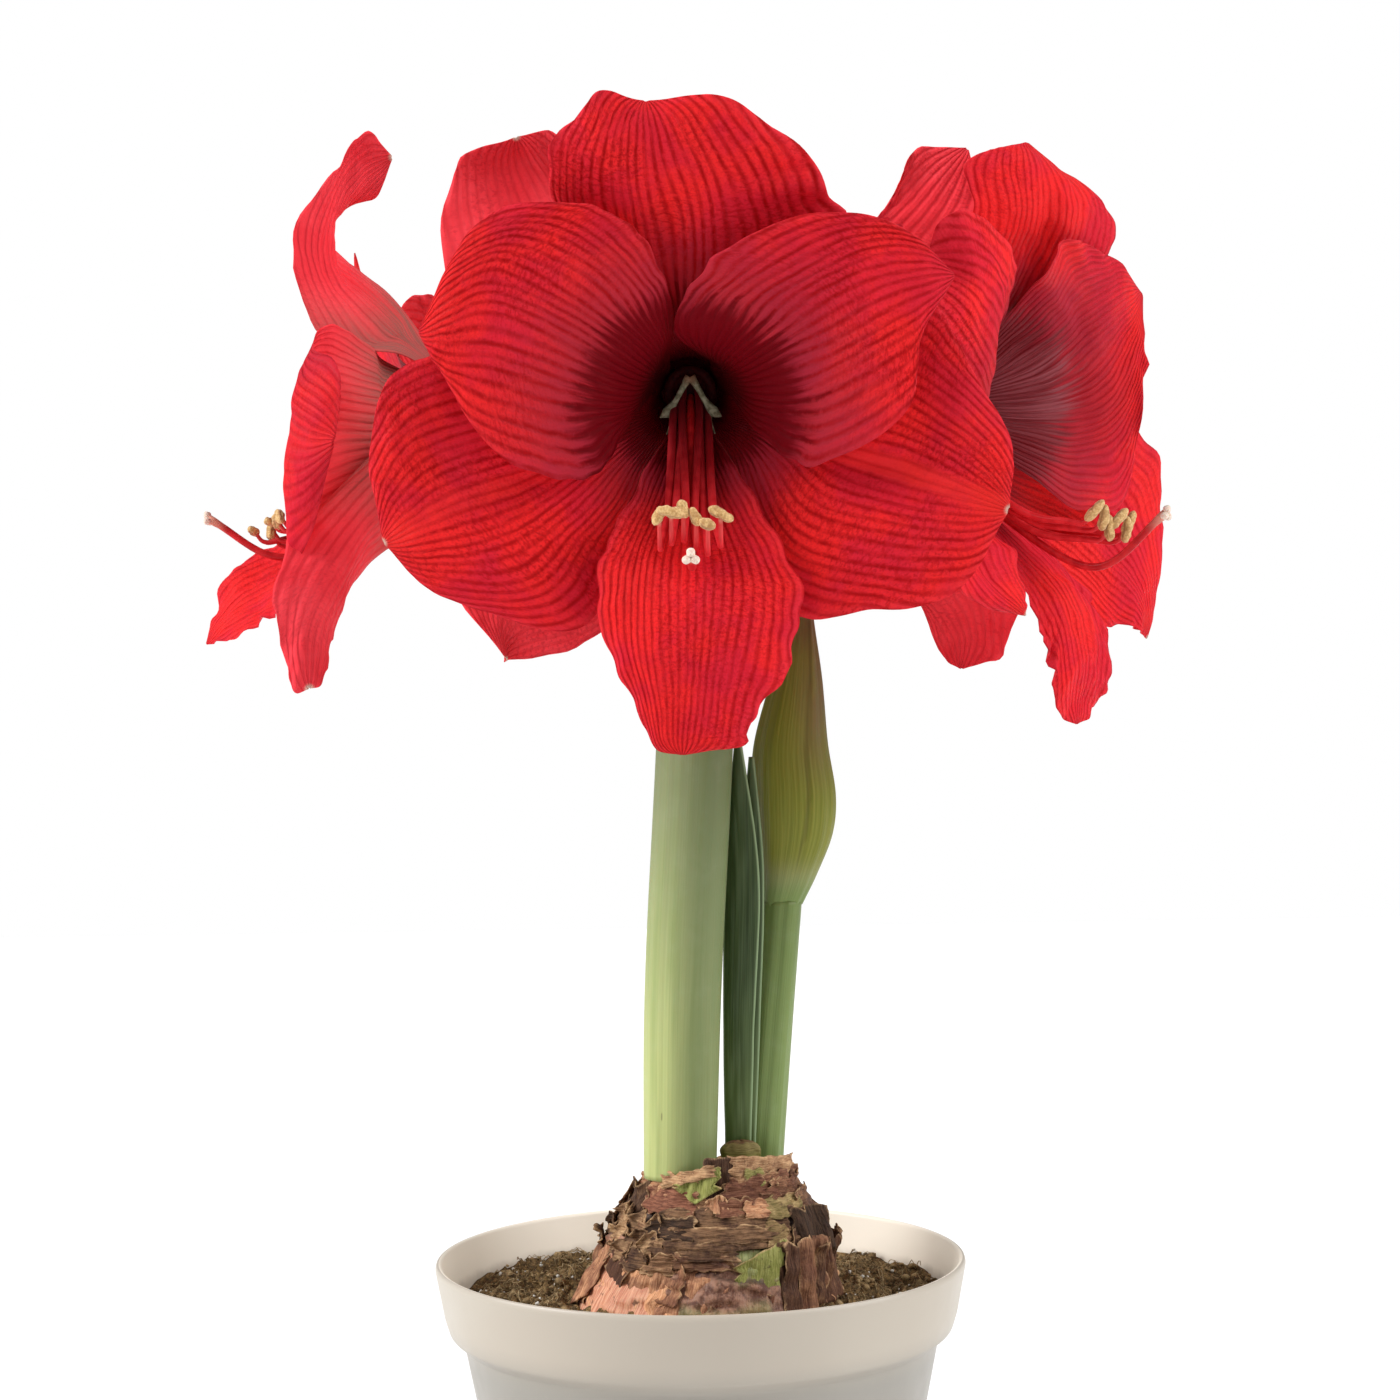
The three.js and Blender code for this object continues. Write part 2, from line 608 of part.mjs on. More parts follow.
function tepal(place, { at, whorl, mid, ccw, cw }) {
  const { baseRadius: atBase, throatRadius: atThroat, baseSpread, throatSpread } = whorls[whorl];
  const rail = (listed, side) => {
    const spoke = (radius, spread, forward) => {
      const angle = radians(at + side * spread);
      return [radius * Math.cos(angle), radius * Math.sin(angle), forward];
    };
    const start = [spoke(atBase, baseSpread, tubeBack), spoke(atThroat, throatSpread, 0)];
    return smooth([...start, ...listed].map(place));
  };
  const midrib = rail(mid, 0);
  const tip = mid.at(-1);
  const margins = [rail([...ccw, tip], 1), rail([...cw, tip], -1)];
  const reach = 0.985; // the sheet stops where the margins all but meet
  const surface = (u, v) => {
    const middle = midrib.getPoint(u * reach);
    const [left, right] = margins.map((margin) => margin.getPoint(u * reach));
    const chord = right.clone().sub(left).multiplyScalar(v / 2);
    const cup = left.add(right).multiplyScalar(0.5).sub(middle).multiplyScalar(v * v);
    return middle.add(chord).add(cup);
  };
  return sheet(surface, 6, 6, tepalThickness);
}

// Pedicel, ovary and floral tube grow as one piece.
function floralTube(place, pedicel) {
  const ovary = place([0, 0, -30]);
  const mouth = place([0, 0, tubeBack - 0.5]);
  const path = [...pedicel.map(([x, y, z]) => vec(x, y, z)), ovary, mouth];
  const isLong = pedicel.length > 3;
  const swelling = isLong ? [4.2, 4.8, 7.6] : [4.4, 7.6];
  const radii = [pedicelRadius, ...swelling, tubeMouth];
  return stalk(path, radii, { sides: 10, steps: 8, upright: false });
}

// Six filaments rise from a low crown in the throat and sweep down, then up to their anthers.
// Their roots stand at these angles round the crown, in the order of the anthers.
const filamentRoots = [180, 240, 120, 60, 300, 0];

function stamens(place, anthers) {
  const crown = lathe([[5, -9.4], [8.2, -9.4], [8.4, -7.8], [5.4, -7.4], [5, -9.4]], 12);
  const seat = new THREE.Matrix4();
  const origin = place([0, 0, 0]);
  const axes = [[1, 0, 0], [0, 1, 0], [0, 0, 1]].map((axis) => place(axis).sub(origin));
  seat.makeBasis(...axes).setPosition(origin);
  let solid = toSolid(crown.applyMatrix4(seat));
  anthers.forEach(([x, y, z], i) => {
    const angle = radians(filamentRoots[i]);
    const high = Math.sin(angle) > 0;
    const path = [
      [6.7 * Math.cos(angle), 6.7 * Math.sin(angle), -8.4],
      [4.6 * Math.cos(angle), high ? -1 : -7, 8],
      [x * 0.6, y + 3, 38],
      [x * 0.9, y - 5, z - 10],
      [x, y, z],
    ];
    solid = solid.add(toSolid(wire(path.map(place), filamentRadius, 4, 6)));
    const anther = new THREE.SphereGeometry(1, 5, 3).scale(4.2, 1.5, 1.5).rotateZ(0.7 * (i - 2.5));
    solid = solid.add(toSolid(anther.translate(x, y + 0.6, z).applyMatrix4(seat)));
  });
  return fromSolid(solid);
}

// The style runs under the filaments and ends in a stigma of three short lobes.
function pistil(place, bend, [x, y, z]) {
  const path = [[0, 0, tubeBack + 0.1], [0, -8, 6], [0, bend[1] * 0.62, 28], bend, [x, y, z]];
  let solid = toSolid(wire(path.map(place), styleRadius, 5, 8));
  for (let i = 0; i < 3; i++) {
    const angle = radians(90 + 120 * i);
    const end = place([x + 1.7 * Math.cos(angle), y + 1.7 * Math.sin(angle), z + 0.2]);
    const lobe = new THREE.SphereGeometry(1.7, 5, 4).translate(end.x, end.y, end.z);
    solid = solid.add(toSolid(lobe));
  }
  return fromSolid(solid);
}

// ---- assembly ----

add('pot', pot(), potCream, 0.45);
const soilSolid = toSolid(soilBody()).subtract(toSolid(bulb(seatGap)));
add('soil', fromSolid(soilSolid), soilBrown, 0.95);
add('bulb', bulb(0), bulbPink, 0.7);
for (const [name, shape] of Object.entries(tunics)) {
  add(name, tunic(shape), tunicBrown, 0.8);
}
const scapeGrid = { sides: 18, steps: 8, upright: true };
const budGrid = { sides: 14, steps: 8, upright: true };
add('scape_main', stalk(mainScapePath, mainScapeRadii, scapeGrid), stalkGreen, 0.5);
add('scape_bud', stalk(budScapePath, budScapeRadii, budGrid), stalkGreen, 0.5);
add('bud', stalk(budPath, budRadii, budGrid), budGreen, 0.5);
for (const [name, shape] of Object.entries(blades)) {
  const isLeaf = name.startsWith('leaf');
  add(name, blade(shape, isLeaf ? 1.2 : 0.6), isLeaf ? leafGreen : bractStraw, 0.5);
}
for (const [name, flower] of Object.entries(flowers)) {
  const place = seenFrom[name];
  add(`${name}_tube`, floralTube(place, flower.pedicel), tubeGreen, 0.5);
  for (const [side, shape] of Object.entries(flower.tepals)) {
    add(`${name}_tepal_${side}`, tepal(place, shape), petalRed, 0.6);
  }
  add(`${name}_stamens`, stamens(place, flower.anthers), pollenYellow, 0.7);
  add(`${name}_pistil`, pistil(place, flower.styleBend, flower.stigma), petalRed, 0.5);
}

export default model;
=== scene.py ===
import math

import bpy
import numpy as np
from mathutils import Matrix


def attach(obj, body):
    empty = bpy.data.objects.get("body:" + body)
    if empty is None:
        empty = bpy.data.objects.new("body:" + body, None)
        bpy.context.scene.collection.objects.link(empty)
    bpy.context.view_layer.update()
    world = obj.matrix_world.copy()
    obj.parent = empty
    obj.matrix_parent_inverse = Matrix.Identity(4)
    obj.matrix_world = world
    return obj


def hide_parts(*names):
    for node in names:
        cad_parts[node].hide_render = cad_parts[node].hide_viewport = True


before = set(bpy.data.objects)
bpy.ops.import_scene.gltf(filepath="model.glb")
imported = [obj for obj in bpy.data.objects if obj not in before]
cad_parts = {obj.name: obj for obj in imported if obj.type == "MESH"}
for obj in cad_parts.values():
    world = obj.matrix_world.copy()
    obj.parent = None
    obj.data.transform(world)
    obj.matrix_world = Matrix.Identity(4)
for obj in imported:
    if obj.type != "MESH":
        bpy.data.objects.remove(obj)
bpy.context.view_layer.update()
metresPerMillimetre = 0.001


def smoothCurve(points, at):
    # Uniform Catmull-Rom curve: a cubic between each two points, with the slope at a point half the step
    # between its neighbours. The ends are carried on in a straight line. "at" runs from 0 to 1.
    points = np.asarray(points, float)
    points = np.vstack([2 * points[0] - points[1], points, 2 * points[-1] - points[-2]])
    place = np.clip(np.asarray(at, float), 0, 1) * (len(points) - 3)
    k = np.minimum(place.astype(int), len(points) - 4)
    t = (place - k)[..., None]
    a, b, c, d = points[k], points[k + 1], points[k + 2], points[k + 3]
    cubic = (3 * b - a - 3 * c + d) * t ** 3
    return 0.5 * (2 * b + (c - a) * t + (2 * a - 5 * b + 4 * c - d) * t ** 2 + cubic)


def smoothValues(values, at):
    return smoothCurve(np.array(values, float)[:, None], at)[:, 0]


def circle(sides):
    return 2 * np.pi * np.arange(sides) / sides


def wayRound(angle, seam):
    # The way round, folded back on itself so that a pattern on it meets at its seam.
    return np.abs((angle + seam) % (2 * np.pi) - np.pi)


def stacked(*values):
    # Arrays and numbers of any matching shapes, side by side along a new last axis.
    return np.stack(np.broadcast_arrays(*values), -1)


def ripple(points, wavelength, seed, count=14):
    # Smooth noise of unit spread: sine waves of nearby lengths that run in random directions, added up.
    rng = np.random.default_rng(seed)
    points = np.asarray(points, float)
    directions = rng.normal(size=(count, points.shape[-1]))
    directions /= np.linalg.norm(directions, axis=1, keepdims=True)
    lengths = wavelength * rng.uniform(0.65, 1.6, count)
    turns = rng.uniform(0, 2 * np.pi, count)
    waves = np.sin(2 * np.pi * (points @ directions.T) / lengths + turns)
    return waves.sum(-1) / math.sqrt(count / 2)


def ripple1(distance, wavelength, seed):
    # The same noise along a line; its waves all run one way.
    rng = np.random.default_rng(seed)
    lengths = wavelength * rng.uniform(0.6, 1.7, 8)
    turns = rng.uniform(0, 2 * np.pi, 8)
    return np.sin(2 * np.pi * np.asarray(distance, float)[..., None] / lengths + turns).sum(-1) / 2


def rise(value, low, high):
    # 0 below low, 1 above high, and a smooth S between them.
    t = np.clip((np.asarray(value, float) - low) / (high - low), 0, 1)
    return t * t * (3 - 2 * t)


def unit(vectors):
    return vectors / np.maximum(np.linalg.norm(vectors, axis=-1, keepdims=True), 1e-9)


def sheetNormals(surface):
    # Across times along: square to the grid, towards the side on which columns run right as rows run up.
    return unit(np.cross(np.gradient(surface, axis=1), np.gradient(surface, axis=0)))


def gridFaces(rows, columns, wrap=False):
    # Four-sided faces between the rows and columns of a grid; "wrap" joins its last column to its first.
    i, j = np.meshgrid(np.arange(rows - 1), np.arange(columns if wrap else columns - 1), indexing="ij")
    a = i * columns + j
    b = i * columns + (j + 1) % columns
    return stacked(a, b, b + columns, a + columns).reshape(-1, 4)


def shell(front, back, values):
    # A closed sheet: the grid of its front, the same grid of its back, and a wall round the rim.
    rows, columns = front.shape[:2]
    count = rows * columns
    index = np.arange(count).reshape(rows, columns)
    ring = np.concatenate([index[0, :-1], index[:-1, -1], index[-1, :0:-1], index[:0:-1, 0]])
    after = np.roll(ring, -1)
    rim = stacked(after, ring, ring + count, after + count)
    faces = gridFaces(rows, columns)
    points = np.concatenate([front.reshape(-1, 3), back.reshape(-1, 3)])
    doubled = {}
    for name, value in values.items():
        flat = np.broadcast_to(value, (rows, columns) + np.shape(value)[2:]).reshape((count,) + np.shape(value)[2:])
        doubled[name] = np.concatenate([flat, flat])
    doubled["side"] = np.concatenate([np.ones(count), np.zeros(count)])
    return {"points": points, "quads": np.concatenate([faces, faces[:, ::-1] + count, rim]),
            "triangles": np.zeros((0, 3), int), "values": doubled, "finish": 0}


def skin(rings, values=None, finish=0):
    # A closed tube through rings of points, with a fan of triangles over each end.
    count, sides = rings.shape[:2]
    points = np.concatenate([rings.reshape(-1, 3), rings[:1].mean(1), rings[-1:].mean(1)])
    j = np.arange(sides)
    k = (j + 1) % sides
    last = (count - 1) * sides
    start, end = count * sides, count * sides + 1
    fans = np.concatenate([stacked(start, k, j), stacked(end, last + j, last + k)])
    listed = {}
    for name, value in (values or {}).items():
        full = np.broadcast_to(value, (count, sides) + np.shape(value)[2:])
        flat = full.reshape((count * sides,) + np.shape(value)[2:])
        listed[name] = np.concatenate([flat, full[:1].mean(1), full[-1:].mean(1)])
    return {"points": points, "quads": gridFaces(count, sides, wrap=True), "triangles": fans,
            "values": listed, "finish": finish}


def ringsOnPath(path, radii, sides, across, shape=None):
    # Rings square to a path: its direction is the slope of the path, and "across" fixes how they turn.
    # "shape" scales the radius of each ring at each angle.
    path = np.asarray(path, float)
    direction = unit(np.gradient(path, axis=0))
    first = unit(np.cross(np.broadcast_to(across, path.shape), direction))
    second = np.cross(direction, first)
    angle = circle(sides)
    size = np.broadcast_to(np.asarray(radii, float).reshape(-1, 1), (len(path), sides))
    size = size if shape is None else size * shape
    out = first[:, None] * np.cos(angle)[None, :, None] + second[:, None] * np.sin(angle)[None, :, None]
    return path[:, None] + out * size[..., None]


def turned(profile, sides):
    # A shape turned on the upright axis: each (radius, level) of the profile goes round as a ring.
    profile = np.asarray(profile, float)
    angle = circle(sides)
    x, y = profile[:, :1] * np.cos(angle), profile[:, :1] * np.sin(angle)
    return stacked(x, y, profile[:, 1:])


def rounded(corners, fillet):
    # A profile with each inner corner replaced by a quadratic arc that starts a fillet's length before it.
    corners = np.asarray(corners, float)
    before = unit(corners[:-2] - corners[1:-1])
    after = unit(corners[2:] - corners[1:-1])
    room = 0.45 * np.minimum(np.linalg.norm(corners[:-2] - corners[1:-1], axis=1),
                             np.linalg.norm(corners[2:] - corners[1:-1], axis=1))
    reach = np.minimum(fillet, room)[:, None]
    t = np.linspace(0, 1, 5)[None, :, None]
    a = (corners[1:-1] + before * reach)[:, None]
    c = (corners[1:-1] + after * reach)[:, None]
    arcs = (1 - t) ** 2 * a + 2 * t * (1 - t) * corners[1:-1][:, None] + t ** 2 * c
    return np.vstack([corners[:1], arcs.reshape(-1, corners.shape[1]), corners[-1:]])


def makePiece(name, parts, finishes, nodes=()):
    # Joins the parts into one mesh, in metres, and fastens it to the frame.
    points = np.concatenate([p["points"] for p in parts]) * metresPerMillimetre
    starts = np.cumsum([0] + [len(p["points"]) for p in parts[:-1]])
    quads = np.concatenate([p["quads"] + s for p, s in zip(parts, starts)])
    triangles = np.concatenate([p["triangles"] + s for p, s in zip(parts, starts)])
    mesh = bpy.data.meshes.new(name)
    mesh.vertices.add(len(points))
    mesh.vertices.foreach_set("co", points.astype(np.float32).ravel())
    corners = np.concatenate([quads.ravel(), triangles.ravel()])
    mesh.loops.add(len(corners))
    mesh.loops.foreach_set("vertex_index", corners.astype(np.int32))
    sizes = np.concatenate([np.full(len(quads), 4), np.full(len(triangles), 3)])
    mesh.polygons.add(len(sizes))
    mesh.polygons.foreach_set("loop_start", (np.cumsum(sizes) - sizes).astype(np.int32))
    used = np.concatenate([np.full(len(p["quads"]), p["finish"]) for p in parts]
                          + [np.full(len(p["triangles"]), p["finish"]) for p in parts])
    mesh.polygons.foreach_set("material_index", used.astype(np.int32))
    mesh.polygons.foreach_set("use_smooth", np.ones(len(sizes), bool))
    mesh.update(calc_edges=True)
    for key in sorted({key for p in parts for key in p["values"]}):
        shapes = [np.shape(p["values"][key])[1:] for p in parts if key in p["values"]]
        isVector = len(shapes[0]) == 1
        blank = (3,) if isVector else ()
        rows = [p["values"].get(key, np.zeros((len(p["points"]),) + blank)) for p in parts]
        made = mesh.attributes.new(key, "FLOAT_VECTOR" if isVector else "FLOAT", "POINT")
        made.data.foreach_set("vector" if isVector else "value", np.concatenate(rows).astype(np.float32).ravel())
    for finish in finishes:
        mesh.materials.append(finish)
    piece = bpy.data.objects.new(name, mesh)
    bpy.context.scene.collection.objects.link(piece)
    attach(piece, "root")
    if nodes:
        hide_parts(*nodes)


finish, tree = None, None  # the material being made and its nodes; newFinish starts them and finishWith ends


def put(kind, inputs=None, **settings):
    node = tree.nodes.new("ShaderNode" + kind)
    for key, value in settings.items():
        setattr(node, key, value)
    for key, value in (inputs or {}).items():
        if isinstance(value, bpy.types.NodeSocket):
            tree.links.new(value, node.inputs[key])
        else:
            node.inputs[key].default_value = value
    return node


def newFinish(name, **shaderValues):
    global finish, tree
    finish = bpy.data.materials.new(name)
    finish.use_nodes = True
    tree = finish.node_tree
    for key, value in shaderValues.items():
        socket = key[0].upper() + "".join(" " + c if c.isupper() else c for c in key[1:])
        socket = {"Specular": "Specular IOR Level", "Ior": "IOR"}.get(socket, socket)
        tree.nodes["Principled BSDF"].inputs[socket].default_value = value


def finishWith(colour, grain, roughness, height=None, distance=0.0, strength=1.0, within=(0.3, 0.7)):
    # The roughness goes from its low to its high value with the grain, and "height" is pressed into the surface,
    # "distance" metres deep.
    sockets = tree.nodes["Principled BSDF"].inputs
    tree.links.new(colour, sockets["Base Color"])
    tree.links.new(fade(grain, *within, *roughness), sockets["Roughness"])
    if height is not None:
        pressed = put("Bump", {"Height": height, "Distance": distance, "Strength": strength})
        tree.links.new(pressed.outputs[0], sockets["Normal"])
    return finish


def rgb(red, green, blue):
    return (red, green, blue, 1.0)  # with alpha


def calc(operation, a, b=0.0, c=0.0):
    return put("Math", {0: a, 1: b, 2: c}, operation=operation).outputs[0]


def times(a, b):
    return calc("MULTIPLY", a, b)


def plus(a, b):
    return calc("ADD", a, b)


def linear(value, factor, extra):
    return calc("MULTIPLY_ADD", value, factor, extra)


def fade(value, low, high, atLow=0.0, atHigh=1.0):
    # Goes smoothly from one number to another while the value goes from low to high.
    inputs = {"Value": value, "From Min": low, "From Max": high, "To Min": atLow, "To Max": atHigh}
    return put("MapRange", inputs, interpolation_type="SMOOTHSTEP").outputs[0]


def mixed(amount, a, b):
    return put("Mix", {0: amount, 6: a, 7: b}, data_type="RGBA").outputs[2]


def twoTone(value, dark, light, low=0.35, high=0.65):
    # One colour where the value is low and the other where it is high.
    return mixed(fade(value, low, high), rgb(*dark), rgb(*light))


def noise(vector, scale, detail=2.0, roughness=0.5):
    inputs = {"Vector": vector, "Scale": scale, "Detail": detail, "Roughness": roughness}
    return put("TexNoise", inputs).outputs[0]


def drawnOut(across, along, acrossScale, alongScale):
    # A place for patterns that change fast across a piece and slowly along it.
    return put("CombineXYZ", {0: times(across, acrossScale), 1: times(along, alongScale)}).outputs[0]


def streaks(across, along, acrossScale, alongScale, detail=2.0, roughness=0.5):
    return noise(drawnOut(across, along, acrossScale, alongScale), 1.0, detail, roughness)


def nearestFleck(across, along, acrossScale, alongScale):
    place = drawnOut(across, along, acrossScale, alongScale)
    return put("TexVoronoi", {"Vector": place, "Scale": 1.0}).outputs["Distance"]


def scaled(vector, scale):
    return put("Mapping", {"Vector": vector, "Scale": scale}).outputs[0]


def objectPlace():
    return put("TexCoord").outputs["Object"]


def pointValue(name):
    return put("Attribute", attribute_name=name).outputs["Fac"]


def pointVector(name):
    return put("Attribute", attribute_name=name).outputs["Vector"]


def split(vector):
    return put("SeparateXYZ", {0: vector}).outputs[:3]


pot = {
    "height": 150, "rimRadius": 87.5, "baseRadius": 53, "wall": 2.2, "floor": 2.6, "collarHeight": 26,
    "shoulderRadius": 78, "sides": 160, "fillet": 1.1, "innermost": 0.5,
    # for its finish, in metres: the levels where the wall's painted shade gives way to the collar's warm tone,
    # the cone (slope and radius) that parts the inside from the outside, where the seen inside starts, and where the
    # soil's line ends
    "wallShadeLevels": (0.118, 0.134), "insideCone": (0.17, 0.0608), "insideLevels": (0.132, 0.1335),
    "soilLine": (0.1385, 0.1425),
}


def innerRadius(level):
    # The inside of the wall is a cone up to the collar.
    slope = (pot["shoulderRadius"] - pot["baseRadius"]) / (pot["height"] - pot["collarHeight"])
    return pot["baseRadius"] - pot["wall"] + slope * level


def potPlastic():
    # Greyish cream, warmer on the collar; the wall below the collar is darker, which is painted shade, and the inside
    # is painted lighter and glows faintly, which is painted light.
    newFinish("cream plastic", specular=0.42, coatWeight=0.08, coatRoughness=0.3, emissionStrength=0.1)
    place = objectPlace()
    x, y, z = split(place)
    cloudy = noise(place, 9, 3)
    speckle = noise(place, 900, 2)
    warm = twoTone(cloudy, (0.465, 0.41, 0.34), (0.5, 0.455, 0.385), 0.3, 0.7)
    # the wall below the collar: the same cream made darker, painted shade
    paintedShadeWall = twoTone(cloudy, (0.3, 0.283, 0.248), (0.33, 0.312, 0.28), 0.3, 0.7)
    colour = mixed(fade(z, *pot["wallShadeLevels"]), paintedShadeWall, warm)
    colour = mixed(fade(speckle, 0.62, 0.75, 0, 0.12), colour, rgb(0.5, 0.4, 0.32))
    # watering leaves a faint brown line where the soil meets the wall, inside only
    radius = calc("SQRT", plus(times(x, x), times(y, y)))
    inside = fade(calc("SUBTRACT", linear(z, *pot["insideCone"]), radius), 0.0, 0.0004)
    inside = times(inside, fade(z, *pot["insideLevels"]))
    # the inside is painted lighter and made to glow faintly: painted light, not a lamp
    colour = mixed(inside, colour, rgb(0.84, 0.77, 0.66))
    paintedGlow = mixed(inside, rgb(0, 0, 0), rgb(0.9, 0.8, 0.68))
    tree.links.new(paintedGlow, tree.nodes["Principled BSDF"].inputs["Emission Color"])
    tide = linear(noise(place, 90, 3), 0.006, z)
    dirt = times(inside, fade(tide, *pot["soilLine"], 0.5, 0.0))
    colour = mixed(dirt, colour, rgb(0.17, 0.115, 0.075))
    return finishWith(colour, noise(place, 130, 3), (0.36, 0.46), noise(place, 1500, 2), 0.00003, 0.5, (0.2, 0.8))


def makePot():
    # Its outline goes from the middle of the foot up the outside, over the rim and down the inside.
    collarFoot = pot["height"] - pot["collarHeight"]
    rim, top, floor = pot["rimRadius"], pot["height"], pot["floor"]
    outline = [
        (pot["innermost"], 0), (pot["baseRadius"], 0), (pot["shoulderRadius"], collarFoot),
        (rim - 4.9, collarFoot + 3.5), (rim - 3.2, collarFoot + 9), (rim - 0.3, top - 1.6), (rim - 0.9, top),
        (rim - 2.4, top - 0.4), (rim - 5.2, collarFoot + 9), (innerRadius(collarFoot), collarFoot),
        (innerRadius(floor), floor), (pot["innermost"], floor),
    ]
    makePiece("pot_body", [skin(turned(rounded(outline, pot["fillet"]), pot["sides"]))],
              [potPlastic()], ["pot"])
    print("pot made")


soil = {
    "level": 135.4, "edge": 82.2, "rings": 76, "sides": 216, "foot": 3.2, "gap": 0.6, "strewn": (46.0, 80.5),
    "heapRadius": 43, "heapWidth": 9, "heapHeight": 1.56,
    "crumbs": 1000, "crumbSize": (0.5, 1.6), "grains": 300, "grainSize": (0.3, 0.95),
    "fibres": 1100, "fibreLength": (2.5, 8.5), "fibreThickness": 0.17, "fibreLift": 1.7,
}


def soilLevel(x, y):
    # The level plus lumps of four sizes, a slight rise towards the wall, and a heap round the bulb.
    place = stacked(x, y)
    radius = np.hypot(x, y)
    lumps = 1.1 * ripple(place, 22, 11) + 0.8 * ripple(place, 9, 12) + 0.55 * ripple(place, 4.2, 13)
    lumps = lumps + 0.3 * ripple(place, 2.1, 14, 24)
    heap = soil["heapHeight"] * np.exp(-((radius - soil["heapRadius"]) / soil["heapWidth"]) ** 2)
    edge = 1.6 * rise(radius, 72, 82) * (0.5 + 0.5 * ripple(place, 30, 15))
    calm = 1 - 0.75 * rise(radius, 79.5, 82.2)
    return soil["level"] + heap + edge + np.clip(lumps, -2.6, 3.4) * calm


def soilMix(name, dark, light, fleck, grainScale):
    newFinish(name, specular=0.2)
    place = objectPlace()
    tone = pointValue("tone")
    coarse = noise(place, grainScale, 4, 0.65)
    colour = mixed(fade(coarse, 0.35, 0.72), dark, light)
    colour = mixed(fade(noise(place, grainScale * 3.3, 3), 0.6, 0.72), colour, fleck)
    colour = mixed(times(tone, 0.8), colour, mixed(1.0, light, fleck))
    height = plus(noise(place, grainScale * 1.8, 5, 0.7), coarse)
    return finishWith(colour, coarse, (0.78, 0.95), height, 0.0006, 0.9)


def lumps(centres, sizes, seed, flatten):
    # Small stones: the 18 points of an octahedron cut once, pushed in and out and turned at random.
    # Point = centre + size x turn x (corner x push).
    axis = np.array([(1, 0, 0), (-1, 0, 0), (0, 1, 0), (0, -1, 0), (0, 0, 1), (0, 0, -1)], float)
    mids = unit(np.array([(1, 1, 0), (1, -1, 0), (-1, 1, 0), (-1, -1, 0), (1, 0, 1), (1, 0, -1),
                          (-1, 0, 1), (-1, 0, -1), (0, 1, 1), (0, 1, -1), (0, -1, 1), (0, -1, -1)], float))
    corner = np.vstack([axis, mids])
    found = {tuple(np.sign(np.round(p, 3)).astype(int)): i for i, p in enumerate(corner)}
    faces = []
    for sx in (1, -1):
        for sy in (1, -1):
            for sz in (1, -1):
                a, b, c = found[(sx, 0, 0)], found[(0, sy, 0)], found[(0, 0, sz)]
                ab, bc, ca = found[(sx, sy, 0)], found[(0, sy, sz)], found[(sx, 0, sz)]
                fourth = [(a, ab, ca), (ab, b, bc), (ca, bc, c), (ab, bc, ca)]
                faces += fourth if sx * sy * sz > 0 else [f[::-1] for f in fourth]
    faces = np.array(faces)
    rng = np.random.default_rng(seed)
    count = len(centres)
    push = rng.uniform(0.68, 1.2, (count, len(corner), 1))
    first = unit(rng.normal(size=(count, 3)))
    second = unit(np.cross(first, rng.normal(size=(count, 3))))
    basis = np.stack([first, second, np.cross(first, second)], 1)
    stretch = rng.uniform(0.7, 1.25, (count, 1, 3))
    points = np.einsum("npi,nij->npj", corner[None] * push * stretch, basis)
    points[..., 2] *= flatten
    points = points * np.asarray(sizes)[:, None, None] + np.asarray(centres)[:, None]
    tone = np.repeat(rng.uniform(0, 1, count), len(corner))
    allFaces = (faces[None] + (np.arange(count) * len(corner))[:, None, None]).reshape(-1, 3)
    return {"points": points.reshape(-1, 3), "quads": np.zeros((0, 4), int), "triangles": allFaces,
            "values": {"tone": tone}, "finish": 0}


def scattered(count, seed):
    # Places on the soil between the bulb and the wall, even over the area.
    rng = np.random.default_rng(seed)
    nearest, farthest = soil["strewn"]
    radius = np.sqrt(rng.uniform(nearest ** 2, farthest ** 2, count))
    angle = rng.uniform(0, 2 * np.pi, count)
    x, y = radius * np.cos(angle), radius * np.sin(angle)
    return stacked(x, y, soilLevel(x, y)), rng


def fibres(places, rng, lengthRange, thickness, lift):
    # Thin curved strands, 3-sided: each lies along a wavy line through its place, following the soil.
    count, steps = len(places), 7
    t = np.linspace(-0.5, 0.5, steps)
    length = rng.uniform(*lengthRange, count)[:, None]
    heading = rng.uniform(0, 2 * np.pi, count)[:, None]
    bend = rng.normal(0, 0.9, (count, 1)) * t ** 2 * 2
    bend = bend + rng.normal(0, 0.5, (count, 1)) * np.sin(7 * t + heading)
    x = places[:, :1] + length * t * np.cos(heading + bend)
    y = places[:, 1:2] + length * t * np.sin(heading + bend)
    radius = np.hypot(x, y)
    shrink = np.minimum(1, 80.8 / radius)
    x, y = x * shrink, y * shrink
    arch = rng.uniform(0, lift, (count, 1)) * (1 - 4 * t ** 2) + rng.normal(0, 0.25, (count, 1))
    z = soilLevel(x, y) + 0.35 + arch
    path = stacked(x, y, z)
    direction = unit(np.gradient(path, axis=1))
    first = unit(np.cross(direction, [0, 0, 1]))
    second = np.cross(first, direction)
    angle = circle(3)
    thick = rng.uniform(0.6, 1.4, (count, 1)) * thickness * (1 - 3.2 * np.abs(t) ** 3)
    ring = first[:, :, None] * np.cos(angle)[:, None] - second[:, :, None] * np.sin(angle)[:, None]
    points = path[:, :, None] + ring * thick[:, :, None, None]
    one = gridFaces(steps, 3, wrap=True)
    caps = np.array([[0, 2, 1], [(steps - 1) * 3, (steps - 1) * 3 + 1, (steps - 1) * 3 + 2]])
    shift = (np.arange(count) * steps * 3)[:, None, None]
    tone = np.repeat(rng.uniform(0, 1, count), steps * 3)
    return {"points": points.reshape(-1, 3), "quads": (one[None] + shift).reshape(-1, 4),
            "triangles": (caps[None] + shift).reshape(-1, 3), "values": {"tone": tone}, "finish": 0}


